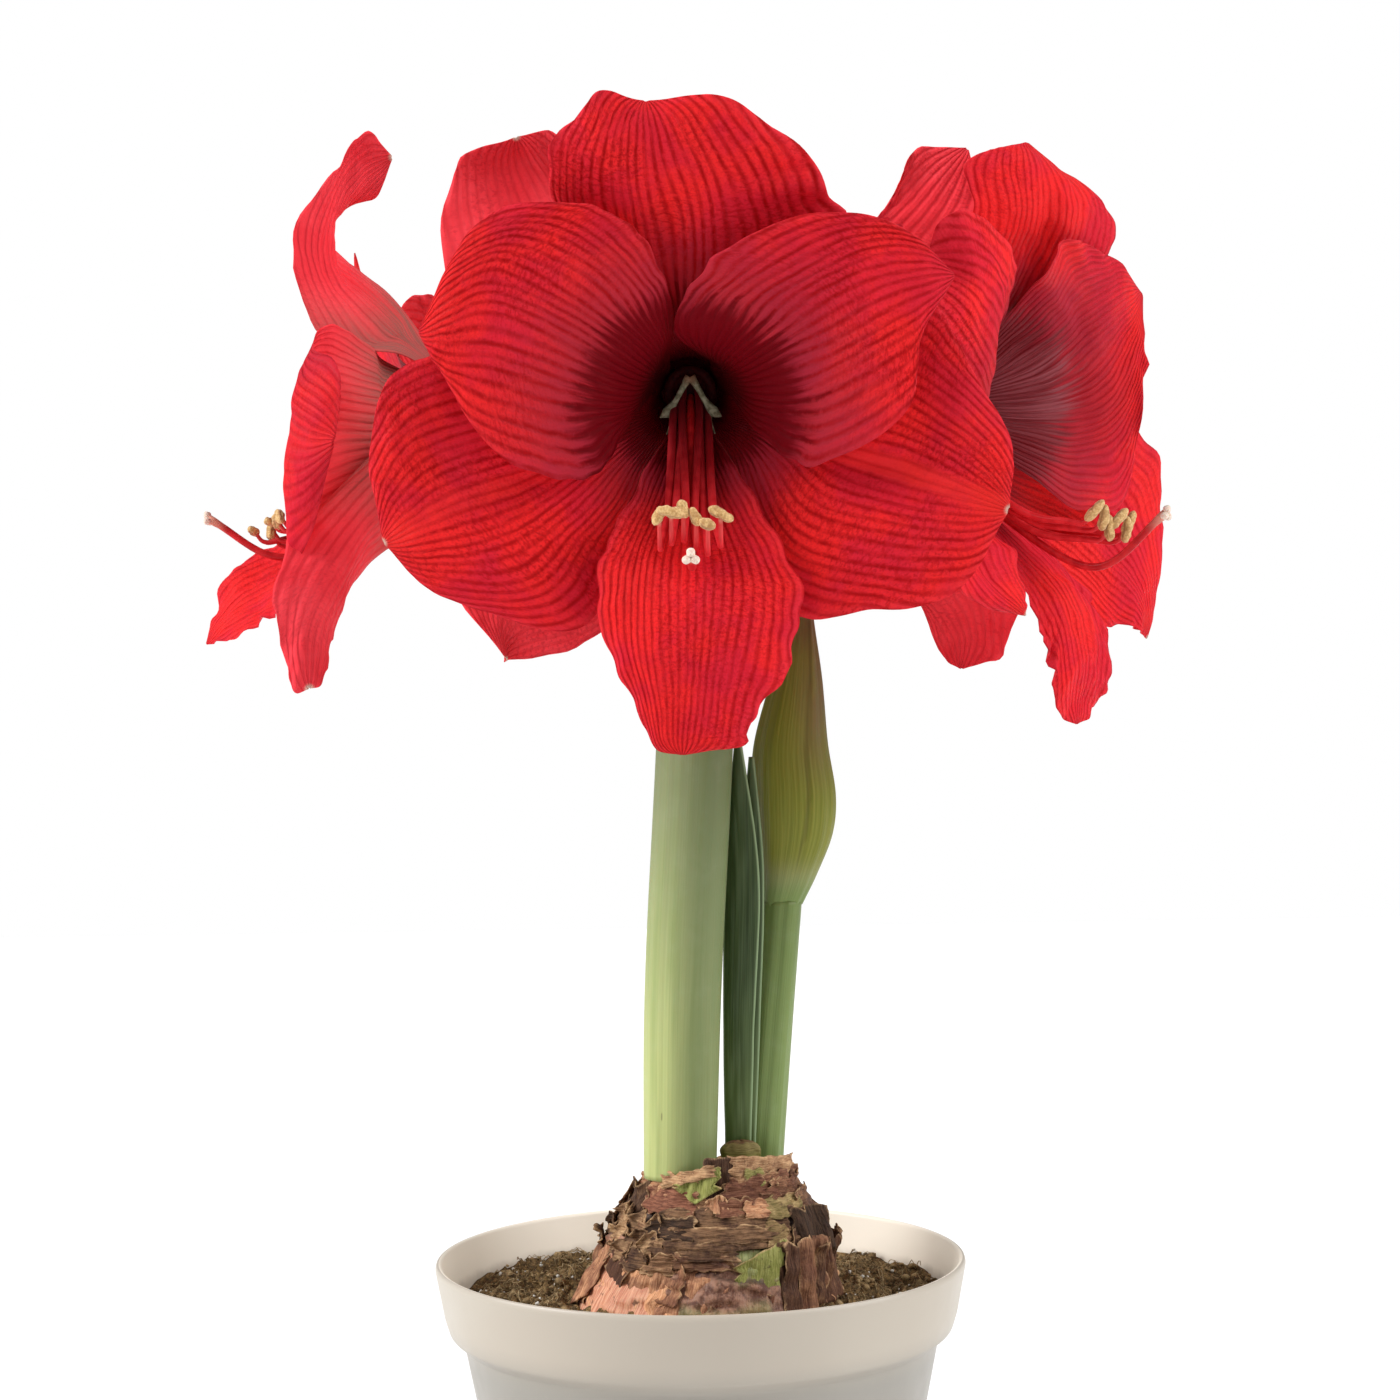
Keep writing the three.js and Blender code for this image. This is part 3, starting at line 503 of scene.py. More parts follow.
def makeSoil():
    # The top is a polar grid on soilLevel; its edge goes down inside the wall to the floor of the pot.
    radii = np.concatenate([np.linspace(soil["edge"], 30, soil["rings"]), [18, 8, 1]])
    angle = circle(soil["sides"])
    x, y = radii[:, None] * np.cos(angle), radii[:, None] * np.sin(angle)
    top = stacked(x, y, soilLevel(x, y))
    foot = soil["foot"]
    wallside = [(innerRadius(level) - soil["gap"], level) for level in (foot, 60, 120)]
    rings = np.concatenate([turned([(1, foot)] + wallside + [(80.2, 128), (81.4, 131.5)], soil["sides"]), top])
    peat = soilMix("peat", rgb(0.07, 0.042, 0.018), rgb(0.29, 0.18, 0.072), rgb(0.54, 0.38, 0.19), 620)
    makePiece("soil_bed", [skin(rings, {"tone": np.zeros((len(rings), soil["sides"]))})],
              [peat], ["soil"])
    crumb = soilMix("peat crumbs", rgb(0.07, 0.042, 0.02), rgb(0.29, 0.18, 0.078), rgb(0.52, 0.37, 0.19), 700)
    white = soilMix("white grains", rgb(0.52, 0.47, 0.4), rgb(0.8, 0.77, 0.7), rgb(0.85, 0.83, 0.78), 900)
    for name, kind, finish, spread, lift, flatten, seed in (
            ("soil_crumbs", "crumb", crumb, (0.6, 1.25), 0.3, 0.75, 21),
            ("soil_white_grains", "grain", white, (0.6, 1.2), 0.7, 0.85, 23)):
        places, rng = scattered(soil[kind + "s"], seed)
        sizes = rng.uniform(*soil[kind + "Size"], len(places)) * rng.uniform(*spread, len(places))
        makePiece(name, [lumps(places + [0, 0, lift], sizes, seed + 1, flatten)], [finish])
    straw = soilMix("fibres", rgb(0.13, 0.08, 0.035), rgb(0.34, 0.23, 0.11), rgb(0.52, 0.38, 0.21), 500)
    places, rng = scattered(soil["fibres"], 25)
    strands = fibres(places, rng, soil["fibreLength"], soil["fibreThickness"], soil["fibreLift"])
    makePiece("soil_fibres", [strands], [straw])
    print("soil made")


bulb = {
    "levels": [92, 97, 108, 122, 136, 148, 158, 167, 173, 177],
    "radii": [16, 29, 38, 41.5, 41.5, 37.5, 34, 29, 25, 24],
    "shifts": [1, 1, 1, 1.5, 2, 4, 5.5, 6, 6, 6],
    "sides": 164, "rows": 78, "buried": 136, "meanRadius": 38, "sheetRadius": 36, "footShown": 141,
    "scaleEdges": [(152, 3.0, 2, 0.4), (160, 2.2, 3, 1.9), (167.5, 1.8, 2, 4.1), (172.5, 1.0, 3, 2.2)],
}
bulbLine = smoothCurve(stacked(bulb["radii"], bulb["shifts"], bulb["levels"]), np.linspace(0, 1, 400))


def bulbRadius(level):
    return np.interp(level, bulbLine[:, 2], bulbLine[:, 0])


def bulbShift(level):
    return np.interp(level, bulbLine[:, 2], bulbLine[:, 1])


def bulbSkin():
    # Salmon with fine upright stripes to the left, green to the right, pink-brown between, browner above.
    newFinish("bare bulb scales", specular=0.2, subsurfaceWeight=0.06,
              subsurfaceScale=0.003, coatWeight=0.03, coatRoughness=0.35)
    place = objectPlace()
    x, y, z = split(place)
    way = calc("ARCTAN2", times(y, -1.0), calc("SUBTRACT", x, 0.0015))
    turn = linear(way, -18 / math.pi, 36.0)  # in tens of degrees, 27 in front
    turn = plus(turn, linear(noise(place, 80, 4, 0.6), 2.6, -1.3))
    level = linear(noise(place, 70, 3), 1.0, linear(z, 100.0, -0.5))
    lay = pointVector("lay")
    stripe = noise(scaled(lay, (1.5, 0.1, 0)), 1.0, 3, 0.6)
    mottle = noise(place, 330, 4, 0.65)
    salmon = twoTone(stripe, (0.53, 0.2, 0.115), (0.77, 0.41, 0.26), 0.38, 0.62)
    green = twoTone(stripe, (0.29, 0.31, 0.1), (0.41, 0.43, 0.19))
    plum = twoTone(mottle, (0.12, 0.05, 0.033), (0.34, 0.18, 0.12), 0.38, 0.62)
    leftSide = times(fade(turn, 19.0, 20.5), fade(turn, 24.6, 25.6, 1, 0))
    greenSide = times(fade(turn, 28.4, 29.1), fade(turn, 30.4, 31.0, 1, 0))
    greenSide = times(greenSide, fade(level, 14.6, 15.0))
    lowGreen = times(fade(turn, 25.2, 26.2), fade(turn, 29.6, 30.4, 1, 0))
    lowGreen = times(lowGreen, fade(level, 13.9, 14.3, 0.4, 0))
    colour = mixed(leftSide, plum, salmon)
    colour = mixed(calc("MAXIMUM", greenSide, lowGreen), colour, green)
    brown = mixed(fade(noise(scaled(place, (1, 1, 4)), 120, 3), 0.4, 0.6),
                  rgb(0.08, 0.04, 0.03), rgb(0.22, 0.14, 0.1))
    colour = mixed(fade(level, 15.7, 16.3), colour, brown)
    spots = fade(noise(place, 300, 3, 0.6), 0.6, 0.68)
    colour = mixed(times(spots, 0.8), colour, rgb(0.12, 0.055, 0.03))
    # painted shade in the corner just above each scale's step
    colour = mixed(times(split(lay)[2], 0.8), colour, rgb(0.04, 0.02, 0.015))
    height = plus(times(stripe, 0.8), mottle)
    return finishWith(colour, stripe, (0.4, 0.58), height, 0.0006, 0.8)


def makeBulb():
    # Radius at a level, plus five broad ribs, fine upright ridges, lumps, and a small step where each scale ends, with
    # painted shade in the corner just above each step.
    low, high, size = bulb["levels"][0], bulb["levels"][-1], bulb["meanRadius"]
    covered, bare = np.linspace(low, bulb["buried"], 14), np.linspace(bulb["buried"], high, bulb["rows"])
    levels = np.concatenate([covered[:-1], bare])
    angle = circle(bulb["sides"])
    level, turn = np.meshgrid(levels, angle, indexing="ij")
    around = stacked(np.cos(turn) * size, np.sin(turn) * size, level)
    ridges = 0.16 * ripple(around * [1, 1, 0.12], 2.4, 31, 30) + 0.25 * ripple(around * [0.7, 0.7, 1], 3.6, 30, 24)
    ribs = 0.6 * np.sin(5 * turn + level * 0.1)
    reach = bulbRadius(level) - 1.1 + ribs + ridges + 0.55 * ripple(around, 11, 32)
    dark = np.zeros_like(reach)
    for k, (height, swing, waves, start) in enumerate(bulb["scaleEdges"]):
        edge = height + swing * np.sin(waves * turn + start) + 0.9 * ripple(around, 9, 33 + k)
        reach = reach + 0.75 * rise(edge - level, -0.3, 0.5)
        # a band of painted shade along the corner just above the step
        dark = np.maximum(dark, np.exp(-((level - edge - 0.5) / 0.8) ** 2))
    ring = stacked(bulbShift(level) + reach * np.cos(turn), reach * np.sin(turn), level)
    crown = ring[-1:]
    middle = np.array([bulbShift(high), 0, high])
    lid = [middle + (crown - middle) * s + [0, 0, lift] for s, lift in ((0.93, 0.4), (0.6, 0.3), (0.1, 0.2))]
    rings = np.concatenate([ring] + lid)
    lay = stacked(size * wayRound(angle, -np.pi / 2), rings[..., 2], 0.0)
    lay[:len(levels), :, 2] = dark
    makePiece("bulb_body", [skin(rings, {"lay": lay})], [bulbSkin()], ["bulb"])
    print("bulb made")


def drySheet(ends, foot, top, stand, torn, dye, grain="up", curl=0, slant=(0, 0), fold=0, vee=0):
    # Its two ends in degrees (270 is the front), the levels of its foot and top, how far they stand off the
    # bulb, how torn it is, its dye (lightness, pink and green), and whether its fibres go up or round. The top
    # curls out by "curl", "slant" tilts foot and top, "fold" makes upright folds, "vee" draws the foot to a point.
    return {"ends": ends, "foot": foot, "top": top, "stand": stand, "torn": torn, "dye": dye, "grain": grain,
            "curl": curl, "slant": slant, "fold": fold, "vee": vee}


tunics = {
    "tunic_front_left": drySheet((202, 251), 136.5, 152.5, (1.5, 1.2), 1.4, (0.8, 1.0, 0), curl=0.2, slant=(0, -3.6)),
    "tunic_front_right": drySheet((302, 323), 137.5, 161, (1.7, 3.0), 2.5, (0.1, 0.12, 0), curl=0.8, fold=0.9),
    "tunic_right_flap": drySheet((322, 362), 137.5, 158, (1.8, 4.4), 3, (0.2, 0.2, 0), curl=1.4, fold=1.1),
    "tunic_back_right": drySheet((14, 84), 138, 161, (1.6, 2.2), 4, (0.35, 0.2, 0), curl=1.0),
    "tunic_back_left": drySheet((90, 148), 138, 163, (1.6, 1.9), 4, (0.45, 0.3, 0), curl=1.0),
    "tunic_left": drySheet((154, 204), 138, 157, (2.0, 2.0), 2.2, (0.36, 0.55, 0), curl=0.8, slant=(0, 1)),
    "tunic_neck_front": drySheet((236, 317), 158.5, 170.5, (2.6, 1.7), 0.9, (0.34, 0.1, 0), "round", curl=0.3),
    "tunic_neck_back": drySheet((10, 170), 158, 175, (1.8, 1.2), 2.5, (0.4, 0.1, 0), "round", curl=0.6),
}
frontPeels = [
    # round the foot of the thick scape
    drySheet((190, 264), 170, 180.8, (0.8, 0.4), 0.7, (0.85, 0.5, 0), "round"),
    drySheet((196, 252), 171.5, 179.6, (1.3, 1.0), 0.6, (0.46, 0.7, 0), "round"),
    drySheet((188, 214), 167, 176.5, (1.8, 2.6), 1.4, (0.2, 0.1, 0), curl=1.6),
    drySheet((212, 256), 168, 176, (1.7, 1.6), 1.0, (-0.02, 0.9, 0), "round"),
    drySheet((238, 271), 171.5, 180.6, (2.3, 1.4), 0.1, (0.75, 0, 0.85), vee=5, slant=(0, 3)),
    drySheet((228, 268), 178, 181.6, (2.6, 1.8), 0.5, (0.78, 0.2, 0), "round", slant=(2.6, 3)),
    drySheet((262, 276), 169, 174, (2.6, 3.0), 0.8, (0.55, 0.7, 0), curl=0.8),
    # ragged level layers round the feet of the leaves and the thin scape
    drySheet((279, 366), 174.5, 184.8, (0.8, 0.3), 0.3, (0.75, 0.25, 0), "round", slant=(0, -2)),
    drySheet((290, 306), 176, 182, (1.4, 0.9), 0.4, (0.6, 0, 0.5), "round"),
    drySheet((300, 354), 173.5, 180.4, (1.5, 1.3), 0.5, (0.3, 0.6, 0), "round"),
    drySheet((274, 318), 171, 179.2, (1.9, 1.5), 0.9, (0.16, 0.6, 0), "round"),
    drySheet((308, 340), 171, 178, (1.9, 2.0), 0.9, (0.3, 0.5, 0), "round"),
    drySheet((334, 372), 170, 178.5, (1.6, 1.8), 1.0, (0.34, 0.4, 0), "round", curl=0.6),
    drySheet((268, 294), 168, 173.6, (2.5, 2.7), 0.9, (0.22, 0.7, 0), "round", curl=0.5),
    drySheet((286, 302), 167.4, 172.6, (2.9, 3.4), 0.8, (0.6, 0.75, 0), "round"),
    drySheet((300, 334), 166.4, 172.8, (2.7, 2.5), 0.7, (0.7, 0.05, 0.25), "round"),
    drySheet((328, 366), 165.5, 173.5, (2.0, 2.8), 1.1, (0.25, 0.3, 0), "round", curl=1.0),
    # the fibrous band: level layers that overlap, greyer to the left
    drySheet((228, 258), 160, 168, (2.9, 2.8), 0.9, (-0.25, 0.0, 0), "round", curl=0.3),
    drySheet((244, 300), 160.5, 165.5, (3.3, 3.2), 0.7, (0.36, 0.1, 0), "round"),
    drySheet((232, 280), 155.5, 161.5, (2.9, 3.1), 0.7, (0.28, 0.1, 0), "round"),
    drySheet((246, 279), 152.5, 157.5, (2.3, 2.7), 1.2, (0.3, 0.3, 0), "round"),
    drySheet((280, 307), 146.5, 158, (1.6, 3.2), 0.3, (0.6, 0, 0.75), slant=(-1, 3.5)),
    drySheet((260, 285), 172, 186, (0.4, 0.1), 0.3, (-0.35, 0.1, 0)),
    drySheet((296, 312), 158.5, 165.5, (2.7, 2.8), 1.3, (0.6, 0.1, 0.15), "round"),
    # curls on the left shoulder
    drySheet((190, 207), 162.5, 169, (1.6, 3.0), 1.6, (0.72, 0.1, 0), "round", curl=2.0),
    drySheet((203, 222), 161.5, 168.5, (1.9, 2.6), 1.8, (0.4, 0.05, 0), "round", curl=2.2),
    drySheet((218, 236), 161, 167.5, (2.2, 2.6), 1.8, (0.62, 0.15, 0), "round", curl=1.6),
    drySheet((184, 202), 158.5, 164.5, (2.0, 3.6), 1.8, (0.3, 0.05, 0), "round", curl=2.4),
    drySheet((199, 216), 157, 163.5, (2.4, 3.2), 1.8, (0.75, 0.1, 0), "round", curl=2.4),
    drySheet((213, 229), 157, 163, (2.6, 3.0), 1.8, (0.3, 0.1, 0), "round", curl=2.0),
    drySheet((226, 242), 156, 162.5, (2.8, 3.2), 1.8, (0.66, 0.1, 0), "round", curl=1.8),
    drySheet((205, 222), 153, 159, (2.7, 3.4), 1.8, (0.58, 0.1, 0), "round", curl=2.0),
    drySheet((219, 236), 151.5, 158, (2.9, 3.6), 1.6, (0.25, 0.1, 0), "round", curl=1.6),
    drySheet((233, 250), 151, 157.5, (3.0, 3.4), 1.6, (0.55, 0.2, 0), "round", curl=1.6),
    drySheet((178, 192), 155, 161.5, (3.4, 5.6), 1.8, (0.12, 0.1, 0), curl=2.6),
    # the dark strip and the leaning flap beside the salmon sheet, and the dull pink sheet to its right
    drySheet((208, 226), 145, 157, (2.0, 2.8), 0.5, (0.05, 0.25, 0), slant=(-5.5, -2)),
    drySheet((190, 206), 139, 155, (3.4, 3.0), 0.4, (0.5, 0.85, 0), slant=(3, 5)),
    drySheet((222, 256), 144.5, 154.5, (1.9, 2.6), 0.8, (0.45, 0.75, 0), slant=(-3, 0)),
    drySheet((244, 278), 136.5, 153, (0.8, 1.4), 1.4, (0.48, 0.9, 0)),
    drySheet((270, 309), 136.5, 145.6, (1.1, 1.3), 1.8, (0.16, 0.6, 0)),
    # dark folded flaps and the near black curled tip to the right
    drySheet((304, 318), 137.5, 159.5, (2.6, 3.4), 1.0, (0.05, 0.2, 0), curl=0.8, fold=0.8),
    drySheet((311, 330), 137.5, 160.5, (3.4, 4.8), 1.0, (0.36, 0.5, 0), curl=0.6, fold=1.1),
    drySheet((316, 343), 154, 168.8, (3.8, 5.4), 1.2, (-0.3, 0.0, 0), curl=2.2, fold=1.5),
    drySheet((326, 348), 138, 157.5, (3.0, 4.2), 1.4, (0.2, 0.3, 0), curl=0.5, fold=1.2),
    drySheet((345, 374), 148, 158, (2.6, 5.6), 2.2, (0.3, 0.3, 0), curl=2.0),
    drySheet((335, 355), 136, 146, (2.4, 2.8), 1.0, (0.7, 1.0, 0)),
]
backPeels = {"count": 17, "foot": (142, 168), "height": (8, 12), "spread": (22, 44)}


def tunicSheet(spec, seed, rows, columns):
    # Level goes from foot to a torn top, and angle from one torn side to the other. The sheet stands off the
    # bulb by "stand", curls out at its top, and has fine ribs along its grain, wrinkles and folds.
    u = np.linspace(0, 1, rows)[:, None]
    v = np.linspace(-1, 1, columns)[None]
    side = np.abs(v)
    span = (spec["ends"][1] - spec["ends"][0]) / 2
    arc = v * np.radians(span) * bulb["sheetRadius"]
    torn = ripple1(arc[0], 9, seed) * 0.5 + ripple1(arc[0], 4.2, seed + 1) * 0.2
    ragged = ripple1(arc[0], 7, seed + 2) * 0.5 + ripple1(arc[0], 3.4, seed + 3) * 0.15
    slant = spec["slant"]
    top = spec["top"] + slant[1] * v + spec["torn"] * np.clip(torn, -1.2, 0.8) - spec["torn"] * rise(side, 0.7, 1.05)
    foot = spec["foot"] + slant[0] * v + spec["vee"] * side
    foot = foot + 0.5 * spec["torn"] * ragged * (spec["foot"] > bulb["footShown"])
    level = foot + (top - foot) * u
    sideNoise = 1 + (0.06 * ripple1(u * 14, 9, seed + 4) + 0.035 * ripple1(u * 14, 4, seed + 5)) * side ** 3
    turn = np.radians(sum(spec["ends"]) / 2 + span * v * sideNoise)
    place = stacked(arc, level)
    low, high = spec["stand"]
    stand = low + (high - low) * u ** 1.5 + spec["curl"] * u ** 5 * (0.7 + 0.5 * ripple1(arc, 14, seed + 6))
    stand = stand + 0.5 * side ** 5 * (0.4 + 0.8 * ripple1(u * 20, 9, seed + 7))
    goesRound = spec["grain"] == "round"
    fine, coarse = ([0.12, 1], [0.4, 1]) if goesRound else ([1, 0.12], [1, 0.4])
    stand = stand + 0.13 * ripple(place * fine, 1.9, seed + 8, 20) + 0.24 * ripple(place * coarse, 4, seed + 9)
    stand = stand + spec["fold"] * ripple(place * [1, 0.1], 9, seed + 10)
    stand = stand + 0.4 * ripple(place, 9, seed + 11) * (0.3 + 0.7 * u)
    reach = bulbRadius(level) + np.maximum(stand, 0.3)
    surface = stacked(bulbShift(level) + reach * np.cos(turn), reach * np.sin(turn), level)
    out = sheetNormals(surface)
    thick = 0.22 * (1 - 0.5 * side ** 8) * (1 - 0.4 * u ** 8)
    rim = np.minimum((1 - side) * np.radians(span) * bulb["sheetRadius"], np.minimum(1 - u, u + 0.04) * (top - foot))
    across, along = (level, arc + seed * 7.3) if goesRound else (arc + seed * 7.3, level)
    lay = stacked(across, along, np.minimum(rim, 9))
    dye = np.broadcast_to(np.array(spec["dye"], float), lay.shape)
    return shell(surface + out * thick[..., None], surface - out * thick[..., None], {"lay": lay, "dye": dye})


def dryTunic():
    # Papery, with fibres along the grain: from near black through brown to tan, or pink, or still green.
    newFinish("dry tunic", specular=0.14)
    lay = pointVector("lay")
    rim = split(lay)[2]
    tone, pinkness, greenness = split(pointVector("dye"))
    place = objectPlace()
    fibre = noise(scaled(lay, (2.3, 0.2, 0)), 1.0, 4, 0.62)
    blotch = noise(place, 190, 4, 0.6)
    mottle = noise(place, 620, 3, 0.6)
    patchy = plus(tone, linear(blotch, 1.0, -0.5))
    dark = twoTone(fibre, (0.024, 0.012, 0.007), (0.085, 0.047, 0.028))
    warm = twoTone(fibre, (0.105, 0.057, 0.029), (0.26, 0.15, 0.078))
    tan = twoTone(fibre, (0.33, 0.185, 0.09), (0.66, 0.44, 0.24))
    colour = mixed(fade(patchy, 0.15, 0.42), dark, warm)
    colour = mixed(fade(patchy, 0.55, 0.9), colour, tan)
    plum = twoTone(fibre, (0.15, 0.05, 0.03), (0.35, 0.145, 0.085))
    salmon = twoTone(fibre, (0.58, 0.25, 0.12), (0.86, 0.47, 0.26), 0.36, 0.62)
    pink = mixed(fade(patchy, 0.28, 0.75), plum, salmon)
    colour = mixed(pinkness, colour, pink)
    fresh = twoTone(fibre, (0.25, 0.285, 0.06), (0.39, 0.43, 0.13))
    colour = mixed(times(greenness, fade(blotch, 0.6, 0.72, 1.0, 0.5)), colour, fresh)
    rubbed = fade(linear(mottle, 1.4, rim), 0.75, 1.5, 1.0, 0.0)
    colour = mixed(times(rubbed, fade(blotch, 0.4, 0.62, 0.1, 0.85)), colour, tan)
    colour = mixed(fade(mottle, 0.58, 0.72, 0.0, 0.55), colour, rgb(0.06, 0.026, 0.02))
    height = plus(fibre, times(mottle, 0.7))
    return finishWith(colour, fibre, (0.5, 0.72), height, 0.0007, 0.9)


def makeTunics():
    papery = dryTunic()
    for k, (name, spec) in enumerate(tunics.items()):
        makePiece(name + "_sheet", [tunicSheet(spec, 40 + 12 * k, 30, 60)], [papery], [name])
    parts = []
    for k, spec in enumerate(frontPeels):
        columns = 24 + (spec["ends"][1] - spec["ends"][0]) // 4
        parts.append(tunicSheet(spec, 400 + 13 * k, 17, columns))
    makePiece("tunic_peels_front", parts, [papery])
    rng = np.random.default_rng(5)
    parts = []
    for k in range(backPeels["count"]):
        middle = 8 + 168 * (k + rng.uniform(0.1, 0.9)) / backPeels["count"]
        spread = rng.uniform(*backPeels["spread"])
        foot = rng.uniform(*backPeels["foot"])
        low = rng.uniform(1.0, 2.6)
        top = foot + rng.uniform(*backPeels["height"])
        stand = (low, low + rng.uniform(-0.2, 1.6))
        curl = rng.uniform(0, 1.6)
        torn = rng.uniform(1.2, 2.6)
        dye = (rng.uniform(0.1, 0.8), rng.uniform(0, 0.6), 0)
        ends = (middle - spread / 2, middle + spread / 2)
        spec = drySheet(ends, foot, top, stand, torn, dye, "round" if k % 3 else "up", curl)
        parts.append(tunicSheet(spec, 800 + 13 * k, 14, 26))
    makePiece("tunic_peels_back", parts, [papery])
    print("tunics made")


stalks = {
    "scape_main": {
        "path": [(-6.3, -8, 177.3), (-4.2, -8, 240), (0.6, -7.5, 317), (5, -2, 405)],
        "radii": [11.7, 12.4, 12.6, 12.2], "sides": 80, "rows": 110,
    },
    "scape_bud": {
        "path": [(19.6, 10, 177.3), (23.2, 10, 215), (28.4, 10, 265.7)],
        "radii": [8.1, 7.7, 7.2], "sides": 60, "rows": 80,
    },
}
stalkRadius = 12  # noise on the stalks and the bud is laid out on a tube of this radius
budShape = {
    "path": [(28.3, 10, 264.4), (31, 10, 275), (33.3, 10, 288), (33.8, 10, 301), (33.2, 10, 318),
             (35.2, 10, 338), (37, 10, 358), (38.5, 10, 372)],
    "radii": [6.9, 9.4, 12.1, 12.9, 11.4, 8.2, 4, 0.8],
    "sides": 88, "rows": 96, "valves": (290, 110), "valveStep": 0.55, "winding": 0.5,
    "foot": 266, "oval": 0.05, "ovalTurn": 20,
}
blades = {
    "leaf_front": {"line": [(12.6, -3.4, 177.3), (13.6, -3.4, 225), (15.4, -3.2, 275), (14.6, -3, 322)],
                   "halfWidths": [4.2, 5.2, 5.8, 0.9], "turn": -14, "keel": 0.8, "thickness": 1.2},
    "leaf_back": {"line": [(15, 0.4, 177.3), (16.6, -0.1, 225), (18.6, -0.2, 275), (19.2, 0, 314)],
                  "halfWidths": [3.2, 4.2, 4.2, 0.9], "turn": -12, "keel": 0.6, "thickness": 1.2},
    "bract_left": {"line": [(-8.3, -4, 402), (-11.6, -4.5, 392), (-12.9, -5, 372), (-13.9, -5, 348)],
                   "halfWidths": [5.5, 7.5, 5.5, 1], "turn": 258, "keel": -1.2, "thickness": 0.5},
    "bract_right": {"line": [(17.8, -3, 402), (20.2, -3.4, 392), (21, -4, 374), (20.6, -4.2, 356)],
                    "halfWidths": [5, 6.5, 5, 1], "turn": 96, "keel": -1.2, "thickness": 0.5},
}
leafStub = {
    "middle": (13.6, -7.1), "halfWidth": 6.5, "halfDepth": 2.8, "rows": 44, "sides": 72, "noiseRadius": 6,
    "profile": [(0.84, 177.2), (0.95, 180), (1.0, 183), (0.95, 185.6), (0.8, 187.4), (0.58, 188.3), (0.4, 188.6),
                (0.25, 188.7), (0.1, 188.7)],
}


def stalkGreen(name, low, high, streak, flecks, dusk):
    # Paler at the foot and darker to the right, which is painted shade, with fine lengthwise lines, a faint waxy bloom
    # and a few dark flecks.
    newFinish(name, specular=0.3, subsurfaceWeight=0.08, subsurfaceScale=0.004,
              sheenWeight=0.06, sheenRoughness=0.4)
    around, along = split(pointVector("lay"))[:2]
    lines = streaks(around, along, 1.6, 0.012, 4, 0.62)
    wide = streaks(around, along, 0.22, 0.01, 2)
    colour = mixed(fade(along, 0, 150), low, high)
    colour = mixed(fade(lines, 0.4, 0.7, 0, 0.2), colour, streak)
    colour = mixed(fade(wide, 0.46, 0.68, 0, 0.38), colour, streak)
    x, _, z = split(objectPlace())
    # painted shade: darker to the right of a line that leans with the stalk
    shadeToRight = fade(linear(z, -0.045, x), -0.023, -0.008, 0.0, dusk)
    colour = mixed(shadeToRight, colour, rgb(0.115, 0.155, 0.058))
    bloom = noise(objectPlace(), 130, 4, 0.6)
    colour = mixed(fade(bloom, 0.45, 0.75, 0, 0.05), colour, rgb(0.5, 0.55, 0.42))
    spot = nearestFleck(around, along, 0.21, 0.05)
    colour = mixed(fade(spot, 0.05, 0.09, flecks, 0), colour, rgb(0.1, 0.07, 0.03))
    return finishWith(colour, bloom, (0.38, 0.55), lines, 0.0003, 0.6, (0.3, 0.75))


def roundStalk(angle, levels):
    return stacked(np.cos(angle) * stalkRadius, np.sin(angle) * stalkRadius, levels)


def levelRings(path, reach, angle):
    return stacked(path[:, :1] + reach * np.cos(angle), path[:, 1:2] + reach * np.sin(angle), path[:, 2:])


def stalkRings(spec):
    # Level rings along the smooth path, with fine ridges that run up the stalk.
    at = np.linspace(0, 1, spec["rows"])
    path = smoothCurve(spec["path"], at)
    radius = smoothValues(spec["radii"], at)
    angle = circle(spec["sides"])
    around = roundStalk(angle, path[:, 2:] * 0.03)
    reach = radius[:, None] + 0.09 * ripple(around, 3.2, 51, 24) + 0.16 * ripple(around, 14, 52)
    lay = stacked(radius.mean() * wayRound(angle, 1.2), path[:, 2:] - path[0, 2], 0)
    return levelRings(path, reach, angle), lay


def makeStalks():
    main = stalkGreen("main scape skin", rgb(0.5, 0.55, 0.21), rgb(0.245, 0.285, 0.14),
                      rgb(0.19, 0.27, 0.07), flecks=0.5, dusk=0.72)
    second = stalkGreen("second scape skin", rgb(0.23, 0.32, 0.095), rgb(0.115, 0.17, 0.035),
                        rgb(0.08, 0.13, 0.02), flecks=0.0, dusk=0.2)
    for name, finish in (("scape_main", main), ("scape_bud", second)):
        rings, lay = stalkRings(stalks[name])
        makePiece(name + "_stalk", [skin(rings, {"lay": lay})], [finish], [name])
    print("scapes made")


def budSkin():
    # Olive, mauve-brown above and to the right, paler near its foot and green where it meets the scape.
    newFinish("bud spathe", specular=0.26, subsurfaceWeight=0.06, subsurfaceScale=0.004)
    around, along, seam = split(pointVector("lay"))
    place = objectPlace()
    lines = streaks(around, along, 1.3, 0.02, 4, 0.6)
    cloud = noise(scaled(place, (1, 1, 0.4)), 55, 3)
    colour = twoTone(lines, (0.16, 0.175, 0.014), (0.22, 0.228, 0.03), 0.38, 0.64)
    x = split(place)[0]
    mauveSide = times(fade(along, 28, 75), fade(x, 0.024, 0.043))
    mauve = times(calc("MAXIMUM", mauveSide, fade(along, 70, 104, 0, 0.8)), fade(cloud, 0.3, 0.6, 0.35, 0.9))
    colour = mixed(mauve, colour, rgb(0.15, 0.075, 0.045))
    colour = mixed(fade(along, 4, 17, 0.75, 0.0), colour, rgb(0.27, 0.29, 0.13))
    colour = mixed(fade(along, 0.5, 11, 0.95, 0.0), colour, rgb(0.165, 0.235, 0.065))
    colour = mixed(times(seam, 0.35), colour, rgb(0.07, 0.05, 0.02))
    return finishWith(colour, lines, (0.4, 0.55), lines, 0.0004, 0.7)


